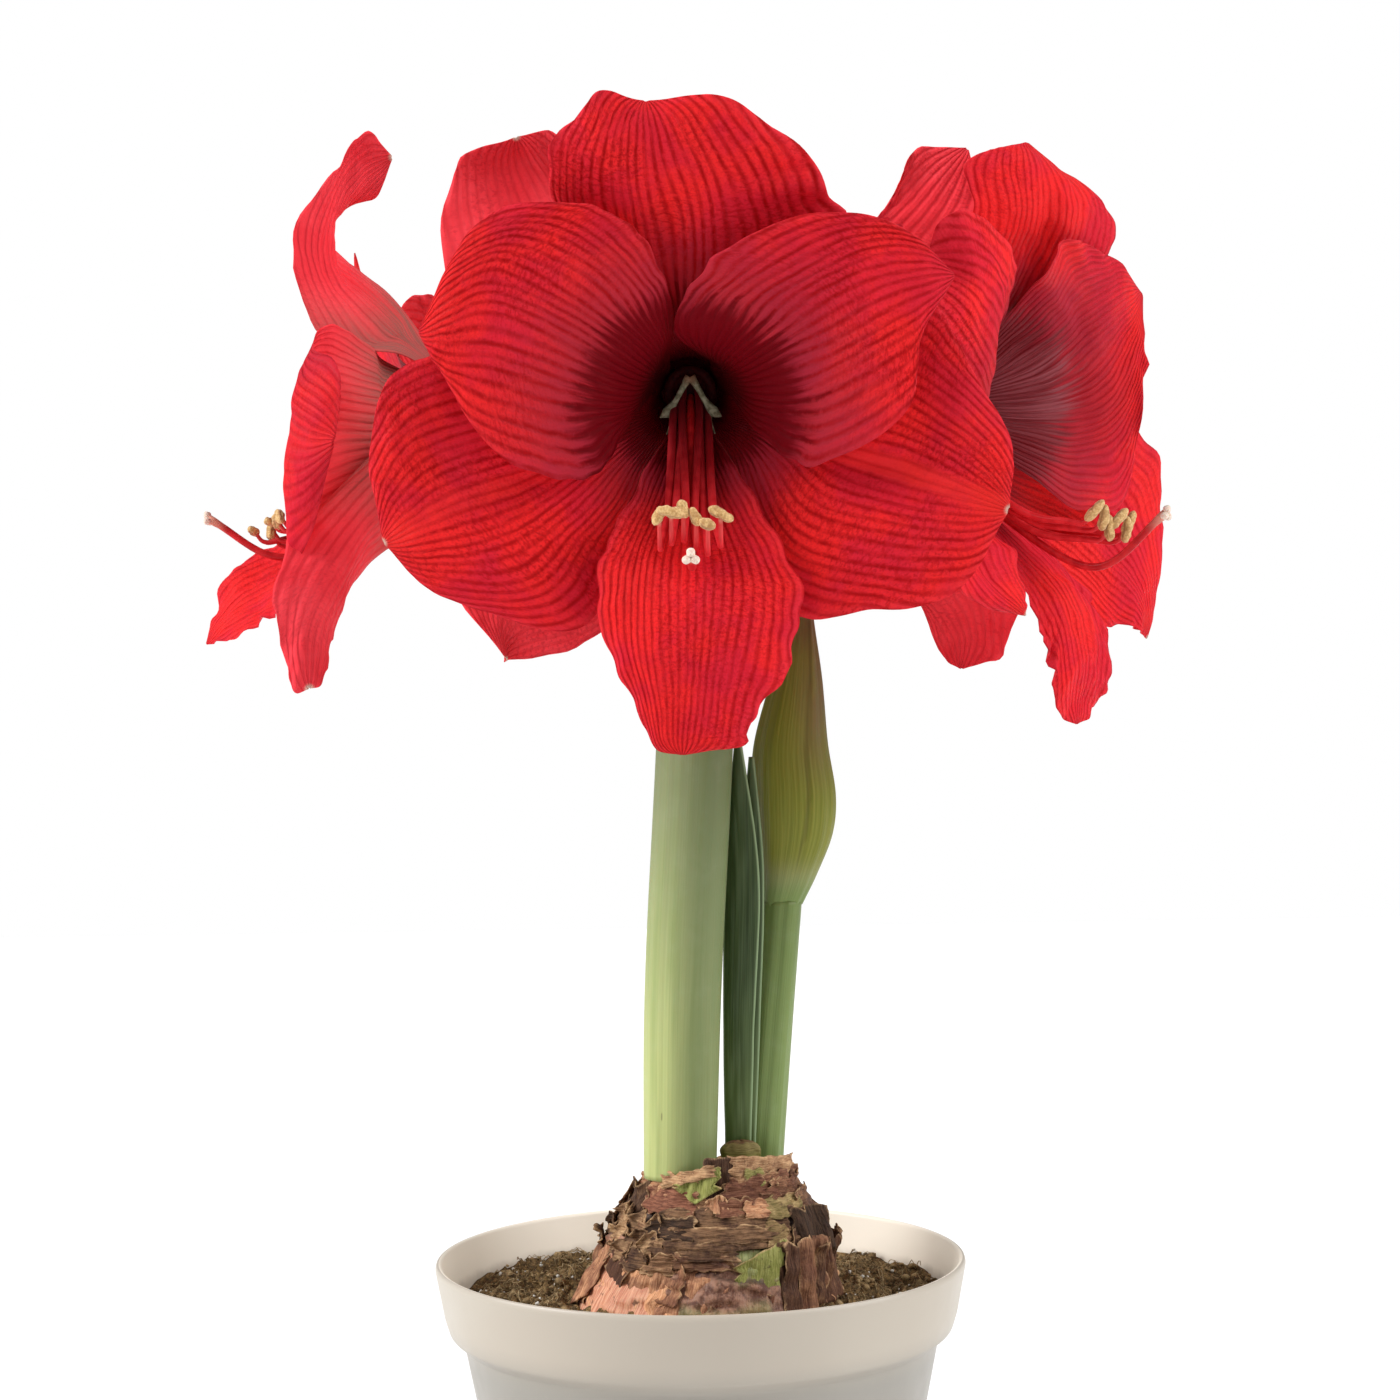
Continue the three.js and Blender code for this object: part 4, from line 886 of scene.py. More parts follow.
def makeBud():
    # Level rings on the bud's line; one valve laps over the other with a small step that winds up the bud.
    at = np.linspace(0, 1, budShape["rows"])
    path = smoothCurve(budShape["path"], at)
    radius = smoothValues(budShape["radii"], at)
    angle = circle(budShape["sides"])
    wound = budShape["winding"] * (at[:, None] - 0.4)
    past = [(angle[None] - (math.radians(valve) + wound) + np.pi) % (2 * np.pi) - np.pi for valve in budShape["valves"]]
    upper = rise(at, 0.12, 0.3)[:, None]
    step = budShape["valveStep"] * upper * sum(np.where(p > 0, np.exp(-p / 0.9), 0) for p in past)
    seam = upper * np.maximum(*[np.exp(-((p + 0.03) / 0.05) ** 2) for p in past])
    around = roundStalk(angle, path[:, 2:] * 0.05)
    oval = 1 + budShape["oval"] * np.cos(2 * (angle[None] - math.radians(budShape["ovalTurn"])))
    reach = radius[:, None] * oval + step
    reach = reach + (0.1 * ripple(around, 3.0, 61, 24) + 0.3 * ripple(around, 11, 62)) * rise(radius, 1, 6)[:, None]
    rings = levelRings(path, np.maximum(reach, 0.3), angle)
    lay = stacked(stalkRadius * wayRound(angle, 1.2), path[:, 2:] - budShape["foot"], seam)
    makePiece("bud_spathe", [skin(rings, {"lay": lay})], [budSkin()], ["bud"])
    print("bud made")


def leafSkin():
    # Dark green with fine lengthwise lines, lighter at its foot and along its margins.
    newFinish("leaf", specular=0.3, coatWeight=0.04, coatRoughness=0.4)
    across, along, rim = split(pointVector("lay"))
    lines = streaks(across, along, 1.9, 0.015, 3, 0.6)
    cloud = streaks(across, along, 0.25, 0.03, 2)
    colour = twoTone(lines, (0.028, 0.05, 0.013), (0.052, 0.084, 0.026))
    colour = mixed(fade(cloud, 0.4, 0.7, 0, 0.45), colour, rgb(0.08, 0.12, 0.046))
    colour = mixed(fade(along, 0, 70, 0.5, 0.0), colour, rgb(0.17, 0.24, 0.07))
    colour = mixed(fade(rim, 0.25, 0.9, 0.85, 0.0), colour, rgb(0.24, 0.33, 0.17))
    return finishWith(colour, cloud, (0.36, 0.5), lines, 0.0003, 0.6)


def witheredSkin():
    newFinish("withered spathe", specular=0.3, sheenWeight=0.1)
    lay = pointVector("lay")
    across, along = split(lay)[:2]
    lines = streaks(across, along, 1.5, 0.05, 4, 0.6)
    blotch = noise(scaled(lay, (0.3, 0.12, 0)), 1.0, 3)
    colour = twoTone(lines, (0.3, 0.2, 0.1), (0.55, 0.43, 0.25))
    colour = mixed(fade(blotch, 0.45, 0.7, 0, 0.7), colour, rgb(0.22, 0.1, 0.06))
    return finishWith(colour, lines, (0.55, 0.75), lines, 0.0006, 0.9)


def bladeSheet(spec, seed, wrinkle):
    # Midline plus v times the half width across, hollowed by keel times v squared.
    at = np.linspace(0, 1, 84)
    middle = smoothCurve(spec["line"], at)[:, None]
    width = smoothValues(spec["halfWidths"], at)[:, None]
    across = np.array([math.cos(math.radians(spec["turn"])), math.sin(math.radians(spec["turn"])), 0])
    outward = np.array([-across[1], across[0], 0])
    v = np.linspace(-1, 1, 22)[None]
    place = stacked(v * width, middle[..., 2])
    creased = 0.5 * ripple(place * [1, 0.2], 4, seed) + 0.7 * ripple(place, 14, seed + 1)
    hollow = spec["keel"] * v ** 2 + wrinkle * creased + 0.05 * ripple(place * [1, 0.05], 1.6, seed + 2, 20)
    surface = middle + across * (v * width)[..., None] + outward * hollow[..., None]
    normal = sheetNormals(surface)
    thick = spec["thickness"] / 2 * (1 - 0.65 * np.abs(v) ** 5) * np.minimum(1, width / 2.5)
    rim = (1 - np.abs(v)) * width
    lay = stacked(v * width + 6, middle[..., 2] - middle[0, 0, 2], rim)
    return shell(surface + normal * thick[..., None], surface - normal * thick[..., None], {"lay": lay})


def stubSkin():
    # A greenish tan foot with level wrinkles and a dry brown rim.
    newFinish("cut leaf foot", specular=0.15)
    around, level, rim = split(pointVector("lay"))
    wrinkle = streaks(around, level, 0.25, 1.5, 4, 0.6)
    colour = twoTone(wrinkle, (0.13, 0.14, 0.022), (0.25, 0.26, 0.06), 0.36, 0.64)
    colour = mixed(fade(level, 4.5, 9.5, 0.0, 0.75), colour, rgb(0.27, 0.2, 0.085))
    colour = mixed(times(rim, fade(wrinkle, 0.3, 0.6, 0.5, 1.0)), colour, rgb(0.13, 0.065, 0.035))
    return finishWith(colour, wrinkle, (0.45, 0.65), wrinkle, 0.0006, 0.8)


def makeStub():
    # An oval barrel: rings on the profile, wider than deep, that fold in over the rim to a hollow middle.
    at = np.linspace(0, 1, leafStub["rows"])
    reach, level = smoothCurve(leafStub["profile"], at).T[..., None]
    angle = circle(leafStub["sides"])[None]
    around = stacked(np.cos(angle) * leafStub["noiseRadius"], np.sin(angle) * leafStub["noiseRadius"], level)
    reach = reach * (1 + 0.035 * ripple(around * [1, 1, 0.6], 3, 65, 20) + 0.04 * ripple(around, 7, 66))
    level = level + 0.2 * ripple(around * [1, 1, 0.1], 4, 67) * rise(level, 184, 187)
    rings = stacked(leafStub["middle"][0] + leafStub["halfWidth"] * reach * np.cos(angle),
                    leafStub["middle"][1] + leafStub["halfDepth"] * reach * np.sin(angle), level)
    rim = rise(at[:, None], 0.5, 0.62)
    lay = stacked(5 * np.abs(angle - np.pi), level - leafStub["profile"][0][1], rim)
    makePiece("leaf_stub_foot", [skin(rings, {"lay": lay})], [stubSkin()], ["leaf_stub"])


def makeBlades():
    leaf, withered = leafSkin(), witheredSkin()
    for k, (name, spec) in enumerate(blades.items()):
        isLeaf = name.startswith("leaf")
        part = bladeSheet(spec, 70 + 5 * k, 0.12 if isLeaf else 0.8)
        finish, slotName = (leaf, "leaf_green") if isLeaf else (withered, "bract_straw")
        makePiece(name + "_blade", [part], [finish], [name])
    makeStub()
    print("leaves and bracts made")


# Each flower has its throat, the way it faces (turn, in degrees from facing front towards facing right), how far
# it nods, its pedicel and six tepals. A tepal stands at an angle round the throat, counter-clockwise seen facing
# the flower from 3 o'clock, and hangs on three rails: its midrib and its two margins. Rail points are (right, up,
# forward) of the throat. The midrib ends in the tip, and both margins end there too.
flowers = {
    "front": {
        "throat": (1, -48, 428), "turn": 0, "nod": 14,
        "pedicel": [(5, -8.6, 405.3), (5, -8.6, 410), (3.5, -10.5, 424)],
        "tepals": {
            "top": {"at": 90, "whorl": "outer", "wavy": 1.1, "nub": False, "veinSpacing": 3.2, "habit": (0.1, 1, 0),
                "mid": [(-1.5, 22, 17), (-4.5, 44, 32), (-7.5, 67, 45), (-10, 83, 48), (-11.5, 91, 44)],
                "ccw": [(-15, 25, 9), (-34.5, 52, 27), (-40, 73.5, 41), (-27, 92, 45)],
                "cw": [(16, 27.5, 16), (44.5, 49, 31), (37.5, 71, 41), (14, 91, 45)]},
            "upper_left": {"at": 150, "whorl": "inner", "wavy": 0.28,
                "mid": [(-15, 11.5, 25), (-35, 27, 43), (-56, 38, 53), (-69.5, 33.5, 54), (-79, 26.5, 50)],
                "ccw": [(-19, -5.5, 24), (-30, -19, 37), (-53, -13, 49), (-69.5, 8, 52)],
                "cw": [(-5, 32, 32), (-14.5, 54, 47), (-34, 63, 52), (-60, 58, 52)]},
            "upper_right": {"at": 30, "whorl": "inner", "wavy": 0.28,
                "mid": [(16.5, 12.5, 26), (37, 27, 46), (55.5, 37.5, 54), (68.5, 40.5, 54), (77.5, 40.5, 50)],
                "ccw": [(-4.5, 24.5, 32), (7, 45.5, 47), (32.5, 58.5, 53), (59, 56, 54)],
                "cw": [(20, -8, 25), (37, -16, 41), (63, 1, 52), (67.5, 22, 53)]},
            "lower_left": {"at": 207, "whorl": "outer", "wavy": 0.35, "keel": 2.4, "keelWidth": 9,
                "habit": (0.6, 0.85, 0),
                "mid": [(-21.5, -8.5, 17), (-45.5, -17.5, 36), (-69, -25, 45), (-83.5, -31.5, 46),
                        (-93, -37.5, 41)],
                "ccw": [(-13, -21, 14), (-23, -46, 31), (-36, -65, 41), (-76, -53.5, 43)],
                "cw": [(-30.5, 5.5, 14), (-61.5, 19.5, 27), (-86.5, 14, 38), (-95.5, -9, 43)]},
            "lower_right": {"at": 333, "whorl": "outer", "wavy": 0.3, "keel": 4.2, "keelWidth": 10,
                "habit": (1, 0.85, 0),
                "mid": [(23, -7, 17), (45.5, -13, 36), (68, -19.5, 45), (83, -25, 46), (95, -30, 43)],
                "ccw": [(30.5, 9, 14), (69, 31.5, 32), (82, 14.5, 43), (95.5, -10.5, 42)],
                "cw": [(10.5, -20, 14), (23, -58.5, 33), (49, -62, 41), (80, -54, 43)]},
            "bottom": {"at": 270, "whorl": "inner", "wavy": 0.8, "veinSpacing": 2.5, "habit": (0, 0.75, 0),
                "mid": [(-0.5, -31, 27), (-1.5, -44, 50), (-2.5, -65, 59), (-3, -83, 60),
                        (-4, -95, 58), (-4, -101, 56)],
                "ccw": [(14, -19.5, 26), (31, -48.5, 46), (30, -69.5, 54), (19, -88, 57), (12.5, -98, 56.5)],
                "cw": [(-15.5, -21.5, 26), (-28, -46, 46), (-26, -68.5, 54), (-17.5, -87, 57),
                       (-12.5, -98, 56.5)]},
        },
        "anthers": [(-9.4, -27.4, 66), (-6, -25.6, 67), (-2.4, -25.2, 65), (1.2, -27.2, 66), (4.6, -28.6, 68),
                    (8.4, -27, 65)],
        "hook": 8.4, "antherLies": [(55, 5.6), (-14, 8.6), (-72, 5.6), (-62, 5.8), (-25, 5), (-28, 8.2)],
        "styleBend": (0, -41, 62), "stigma": (-0.4, -35, 84),
    },
    "right": {
        "throat": (78, -2, 424), "turn": 56, "nod": 8,
        "pedicel": [(11.6, -1.6, 405.3), (11.6, -1.6, 410), (20, 6, 422), (38, 14, 430)],
        "tepals": {
            "top": {"at": 90, "whorl": "outer", "wavy": 0.35, "wider": (1, 1.3), "nub": False,
                "mid": [(1, 31, 22), (-3, 60, 38), (-14, 78, 43), (-20, 88, 37)],
                "ccw": [(-18, 29, 16), (-38, 60, 31), (-46, 78, 32)],
                "cw": [(20, 30, 21), (26, 57, 40), (25, 75, 42)]},
            "upper_left": {"at": 150, "whorl": "inner", "wavy": 0.3, "habit": (0.1, 0.85, 0.2),
                "mid": [(-19, 14, 26), (-42, 28, 46), (-64, 38, 49), (-78.5, 42.5, 38)],
                "ccw": [(-18, -6, 24), (-42, 4, 44), (-72, 22, 44.5)],
                "cw": [(-9, 30, 28), (-44, 52, 49), (-77, 59, 46)]},
            "upper_right": {"at": 30, "whorl": "inner", "wavy": 0.6, "wider": (1.3, 1), "veinSpacing": 2.6,
                "habit": (0, 0.45, 1),
                "mid": [(22, 11, 24), (31, 17, 36), (36, 25, 44), (45, 38, 48.5), (57, 50, 46)],
                "ccw": [(4, 31, 27), (-3, 43, 43), (3, 53.5, 47), (30, 54, 48.5)],
                "cw": [(26, -14, 26), (46, -24, 37), (67.5, -17, 44), (56.5, 19.5, 50)]},
            "lower_right": {"at": 333, "whorl": "outer", "wavy": 0.8,
                "mid": [(29, -17, 18), (55, -27, 35), (64.5, -39.5, 46), (76, -52.5, 50), (83, -66, 50)],
                "ccw": [(38, 2, 14), (93, 6, 32), (96, -16.5, 44), (91.5, -48.5, 49)],
                "cw": [(16, -35, 22), (34.5, -51.5, 38), (51, -61, 46), (70, -62, 50)]},
            "bottom": {"at": 270, "whorl": "inner", "wavy": 0.8, "veinSpacing": 2.8,
                "mid": [(2, -30, 28), (4, -47, 52), (3, -69, 64), (8, -84, 63), (10, -93, 62)],
                "ccw": [(18, -28, 28), (24, -52, 54), (26, -74, 64), (22.5, -84.5, 63.6), (17, -90.5, 63)],
                "cw": [(-14, -28, 26), (-13, -51, 50), (-11, -72, 60), (-6, -84, 60.6), (2, -91, 61.4)]},
            "lower_left": {"at": 207, "whorl": "outer", "wavy": 0.5,
                "mid": [(-24, -18, 18), (-36, -32, 38), (-41, -44, 50), (-36, -53, 56), (-24, -59, 57)],
                "ccw": [(-13, -36, 22), (-16.5, -36, 42), (-20.5, -44, 50), (-21, -53, 54)],
                "cw": [(-32, -2, 14), (-58, -22, 34), (-60, -46, 46), (-44, -57, 52)]},
        },
        "anthers": [(-6, -25, 67), (-3, -27, 69), (0, -30, 70), (3, -27, 71.5), (6, -30, 73), (8.5, -28, 72.5)],
        "antherLies": [(60, 9), (100, 8.5), (75, 9), (50, 9.5), (95, 8.5), (70, 9)],
        "styleBend": (0, -42, 66), "stigma": (0, -23, 89),
    },
    "left": {
        "throat": (-72, 4, 424), "turn": -97, "nod": 8,
        "pedicel": [(-1.6, -2, 405.3), (-1.6, -2, 410), (-9, -1, 421), (-25, 0, 428.5)],
        "tepals": {
            "top": {"at": 90, "whorl": "outer", "wavy": 0.15,
                "mid": [(2, 31, 17), (5, 37, 22), (3, 58, 37), (0, 76, 38.5), (-4, 89, 26.5), (-5, 95, 13)],
                "ccw": [(-19, 32, 13), (-28, 55, 27), (-24, 76, 46), (-14, 84.5, 37.5), (-8, 83.5, 22)],
                "cw": [(20, 25, 15), (24, 33.5, 39), (16, 69.5, 46), (4, 93, 29.5), (0, 103.5, 20)]},
            "upper_right": {"at": 30, "whorl": "inner", "wavy": 0.3, "wider": (1, 1.2),
                "mid": [(24, 8, 20), (32, 8.5, 24.5), (44, 11.5, 39.5), (54, 3.5, 46.5),
                        (62, -3, 39.5), (65, -5, 30)],
                "ccw": [(15, 24, 21), (24, 29, 23.5), (34, 36, 34.5), (46, 28.5, 37.5), (56, 17, 27)],
                "cw": [(27, -12, 20), (32, -14.5, 30.5), (42, -22.5, 48), (50, -33, 54), (58, -25.5, 44)]},
            "lower_right": {"at": 333, "whorl": "outer", "wavy": 0.1, "wider": (1.15, 1),
                "mid": [(27, -16, 15), (36, -26.5, 28), (46, -42.5, 42), (51, -59, 51.5),
                        (53, -71, 53), (52, -79, 53.5)],
                "ccw": [(34, 0, 12), (40, -16.5, 33.5), (50, -30.5, 49), (54, -51, 57.5),
                        (53, -69, 58), (53.5, -77.5, 57.5)],
                "cw": [(14, -34, 19), (22, -37, 30), (32, -49, 40), (42, -60, 45.5),
                       (47, -71, 48), (50, -78, 49.5)]},
            "bottom": {"at": 270, "whorl": "inner", "wavy": 0.7,
                "mid": [(0, -28, 26), (0, -31.5, 46.5), (0, -38.5, 70), (0, -44, 85),
                        (0, -51.5, 95), (0, -56.5, 100.5)],
                "ccw": [(15, -24, 26), (20, -41.5, 41), (20, -50.5, 64.5), (14, -56.5, 82.5), (6, -57, 93)],
                "cw": [(-15, -23, 27), (-20, -21, 50), (-22, -27, 80.5), (-16, -33.5, 93), (-8, -46.5, 99)]},
            "lower_left": {"at": 207, "whorl": "outer", "wavy": 0.7,
                "mid": [(-27, -14, 15), (-46, -14, 31), (-60, -13, 44), (-72, -14, 52), (-80, -18, 56)],
                "ccw": [(-14, -34, 18), (-38, -31, 32), (-56, -28, 43), (-70, -23, 51)],
                "cw": [(-35, 4, 12), (-54, 14, 35), (-66, 7, 52), (-76, -5, 57)]},
            "upper_left": {"at": 150, "whorl": "inner", "wavy": 0.5,
                "mid": [(-24, 15, 21), (-38, 35, 30), (-48, 48, 37), (-54, 59, 41), (-57, 68, 43), (-58, 77, 43)],
                "ccw": [(-27, -7, 21), (-49, 20, 36), (-60, 41, 45), (-63, 58, 48), (-60, 69, 46)],
                "cw": [(-12, 28, 22), (-28, 41, 25), (-41, 50, 29), (-50, 58, 35), (-56, 67, 41)]},
        },
        "anthers": [(-8, -24, 74), (-4.5, -22, 79), (-1.5, -23, 72), (2, -20, 71), (5, -21, 68), (8, -20, 66)],
        "styleBend": (0, -32, 68), "stigma": (0, -15, 93),
    },
    "back": {
        "throat": (6, 44, 438), "turn": 178, "nod": 4,
        "pedicel": [(5, 5, 405.3), (5, 5, 410), (5.3, 7, 424)],
        "tepals": {
            "upper_right": {"at": 60, "whorl": "outer", "wavy": 0.5,
                "mid": [(23, 31, 14), (50, 62, 18), (63, 85, 19), (66, 96, 9)],
                "ccw": [(-1, 36, 14), (30, 80, 18), (51, 98, 15)],
                "cw": [(37, 13, 14), (88, 40, 18), (90, 86, 17)]},
            "right": {"at": 0, "whorl": "inner", "wavy": 0.6,
                "mid": [(34, 0, 21), (80, 11, 29), (102, 22, 29), (112, 31, 20)],
                "ccw": [(26, 19, 22), (80, 36, 30), (104, 44, 27)],
                "cw": [(26, -19, 22), (80, -19, 29), (106, 2, 29)]},
            "upper_left": {"at": 120, "whorl": "inner", "wavy": 0.5,
                "mid": [(-19, 28, 21), (-53, 52, 30), (-79, 76, 29), (-94, 91.5, 20)],
                "ccw": [(-30, 12, 21), (-80, 34, 30), (-99, 66, 25)],
                "cw": [(-2, 32, 23), (-65, 57.5, 30), (-68.5, 76, 29), (-75, 92.5, 26.5)]},
            "left": {"at": 180, "whorl": "outer", "wavy": 0.5,
                "mid": [(-36, 0, 14), (-70, -3, 19), (-90, -8, 19), (-99, -14, 12)],
                "ccw": [(-29, -22, 14), (-64, -32, 19), (-90, -33, 17)],
                "cw": [(-29, 22, 14), (-66, 24, 19), (-90, 14, 17)]},
            "lower_left": {"at": 240, "whorl": "inner", "wavy": 0.7,
                "mid": [(-19, -27, 21), (-53.5, -45, 30), (-80, -65.5, 30), (-89, -80.5, 28), (-88, -94.5, 21)],
                "ccw": [(-4, -31, 23), (-41, -48.5, 30), (-70, -64, 29), (-80, -88, 24)],
                "cw": [(-30, -12, 21), (-79, -22.5, 30), (-110, -49.5, 30), (-104, -87, 25)]},
            "lower_right": {"at": 300, "whorl": "outer", "wavy": 0.9,
                "mid": [(19, -32, 14), (51, -60, 19), (74, -71, 20), (71, -89.5, 12)],
                "ccw": [(35, -14, 14), (74, -36, 19), (95, -53, 18)],
                "cw": [(2, -38, 14), (38, -80, 19), (70, -89, 18)]},
        },
        "anthers": [(-8, -26, 66), (-5, -25, 68), (-2, -24, 65), (2, -27, 67), (5, -28, 69), (8, -26, 65)],
        "styleBend": (0, -40, 64), "stigma": (0, -30, 86),
    },
}

petal = {
    "grid": {"front": (94, 72), "right": (74, 54), "left": (74, 54), "back": (56, 44)}, "reach": 0.993, "tubeBack": -16,
    "whorls": {"outer": (9.4, 15, 26, 34), "inner": (7.5, 12.4, 26, 30)},
    "thickness": 0.5, "rimThickness": 0.22, "wavesFrom": (34, 74), "outlineLengths": (19, 12),
    "veinSpacing": 3.4, "keel": {"outer": 1.9, "inner": 0.6}, "keelWidth": 5.2,
    "ruffle": 1.6, "ruffleLength": 23, "frill": 0.5, "frillLength": 12,
    "swell": 0.9, "swellLength": 32, "crumple": 0.16, "crumpleLength": 7,
    "habits": {"front": (0.1, 0.9, 0), "right": (0.1, 0.5, 0.5), "left": (0.3, 0.4, 0.3), "back": (0.2, 0.55, 0.3)},
    "outline": 0.6, "stainScale": {"top": 0.95, "upper_left": 0.9, "upper_right": 0.9, "lower_left": 1.35,
                                   "lower_right": 1.35, "bottom": 1.5, "left": 1.2, "right": 1.2},
}


def flowerFrame(flower):
    # Right, up and forward of a flower as the rows of a matrix: forward is level at "turn", then nods down.
    turn, nod = math.radians(flower["turn"]), math.radians(flower["nod"])
    level = np.array([math.sin(turn), -math.cos(turn), 0])
    right = np.cross([0, 0, 1], level)
    forward = level * math.cos(nod) + np.array([0, 0, -math.sin(nod)])
    return np.stack([right, np.cross(forward, right), forward])


def inPlace(flower, points):
    return np.array(flower["throat"], float) + np.asarray(points, float) @ flowerFrame(flower)


def tepalSheet(side, spec, habit, seed, rows, columns):
    # Point(u, v) = midrib + v x half the chord between the margins + v squared x the cup they make with it.
    # Along the normal come the keel, the ruffled margins, slow swells and a fine crumple.
    baseRadius, throatRadius, baseSpread, throatSpread = petal["whorls"][spec["whorl"]]
    u = np.linspace(0, petal["reach"], rows)

    def rail(listed, way):
        turns = np.radians(spec["at"] + way * np.array([baseSpread, throatSpread]))
        radii = np.array([baseRadius, throatRadius])
        start = stacked(radii * np.cos(turns), radii * np.sin(turns), [petal["tubeBack"], 0])
        return smoothCurve(np.vstack([start, listed]), u)

    tip = np.array(spec["mid"][-1], float)
    middle = rail(spec["mid"], 0)
    left, right = rail(spec["ccw"] + [tuple(tip)], 1), rail(spec["cw"] + [tuple(tip)], -1)
    along = np.concatenate([[0], np.cumsum(np.linalg.norm(np.diff(middle, axis=0), axis=1))])
    half = np.linalg.norm(right - left, axis=1) / 2
    widest = half.max()
    v = np.linspace(-1, 1, columns)[None]
    wavy = spec.get("wavy", 0.6)
    grown = (rise(along, *petal["wavesFrom"]) * rise(u, 1.0, 0.84))[:, None]
    sides = [seed + 1, seed + 2]
    long, short = petal["outlineLengths"]

    def bySide(pair):
        return np.where(v < 0, pair[0][:, None], pair[1][:, None])

    outline = [petal["outline"] * (ripple1(along, long, s) * 0.7 + ripple1(along, short, s + 5) * 0.4) for s in sides]
    outline = bySide(outline) * grown * (0.4 + wavy)
    stretch = 1 + np.clip(outline / np.maximum(half[:, None], 8), -0.03, 0.03) * np.abs(v) ** 4
    wider = spec.get("wider", (1, 1))
    stretch = stretch * (1 + (np.where(v < 0, wider[0], wider[1]) - 1) * rise(along, 15, 45)[:, None])
    reach = (v * stretch)[..., None]
    surface = middle[:, None] + reach * (right - left)[:, None] / 2
    surface = surface + reach ** 2 * ((left + right) / 2 - middle)[:, None]
    across = v * half[:, None]
    place = stacked(across, along[:, None])
    edge = np.abs(v)
    count = max(8, round(2 * widest / spec.get("veinSpacing", petal["veinSpacing"])))
    fan = np.where(u < u[half.argmax()], 1.0, (half / widest) ** 0.4)
    vein = v * count / 2 * fan[:, None] + 0.16 * ripple(place * [1, 0.4], 18, seed + 11)
    keel = spec.get("keel", petal["keel"][spec["whorl"]])
    height = -keel * np.exp(-(across / spec.get("keelWidth", petal["keelWidth"])) ** 2)
    height = height * (rise(along, 20, 60) * rise(u, 1.0, 0.75))[:, None]
    wave = bySide([np.sin(2 * np.pi * along / petal["ruffleLength"] / k + 6 * ripple1(along, 90, s) + s)
                   * (0.65 + 0.35 * ripple1(along, 40, s + 7)) for s, k in zip(sides, (1.0, 1.17))])
    frill = bySide([ripple1(along, petal["frillLength"], s + 9) for s in sides])
    height = height + grown * wavy * (petal["ruffle"] * wave * edge ** 3.2 + petal["frill"] * frill * edge ** 7)
    height = height + petal["swell"] * ripple(place, petal["swellLength"], seed + 21) * grown * 0.7
    height = height + petal["crumple"] * ripple(place * [1, 0.8], petal["crumpleLength"], seed + 22, 20) * grown
    normal = sheetNormals(surface)
    surface = surface + normal * height[..., None]
    normal = sheetNormals(surface)
    thick = (petal["thickness"] + (petal["rimThickness"] - petal["thickness"]) * edge ** 6) / 2
    thick = np.broadcast_to(thick, (rows, columns))[..., None]
    depth = np.linalg.norm(surface * [1, 1, 0.55], axis=-1) * petal["stainScale"][side]
    rim = np.minimum((1 - edge) * half[:, None], (1 - u[:, None]) * along[-1])
    tipAway = np.linalg.norm(surface - tip, axis=-1) + (0 if spec.get("nub", spec["whorl"] == "outer") else 3)
    return surface + normal * thick, surface - normal * thick, {
        "lay": stacked(vein + 40 * (seed % 7), along[:, None], across),
        "zone": stacked(depth, rim, tipAway),
        "habit": np.broadcast_to(np.array(habit, float), vein.shape + (3,)),
    }


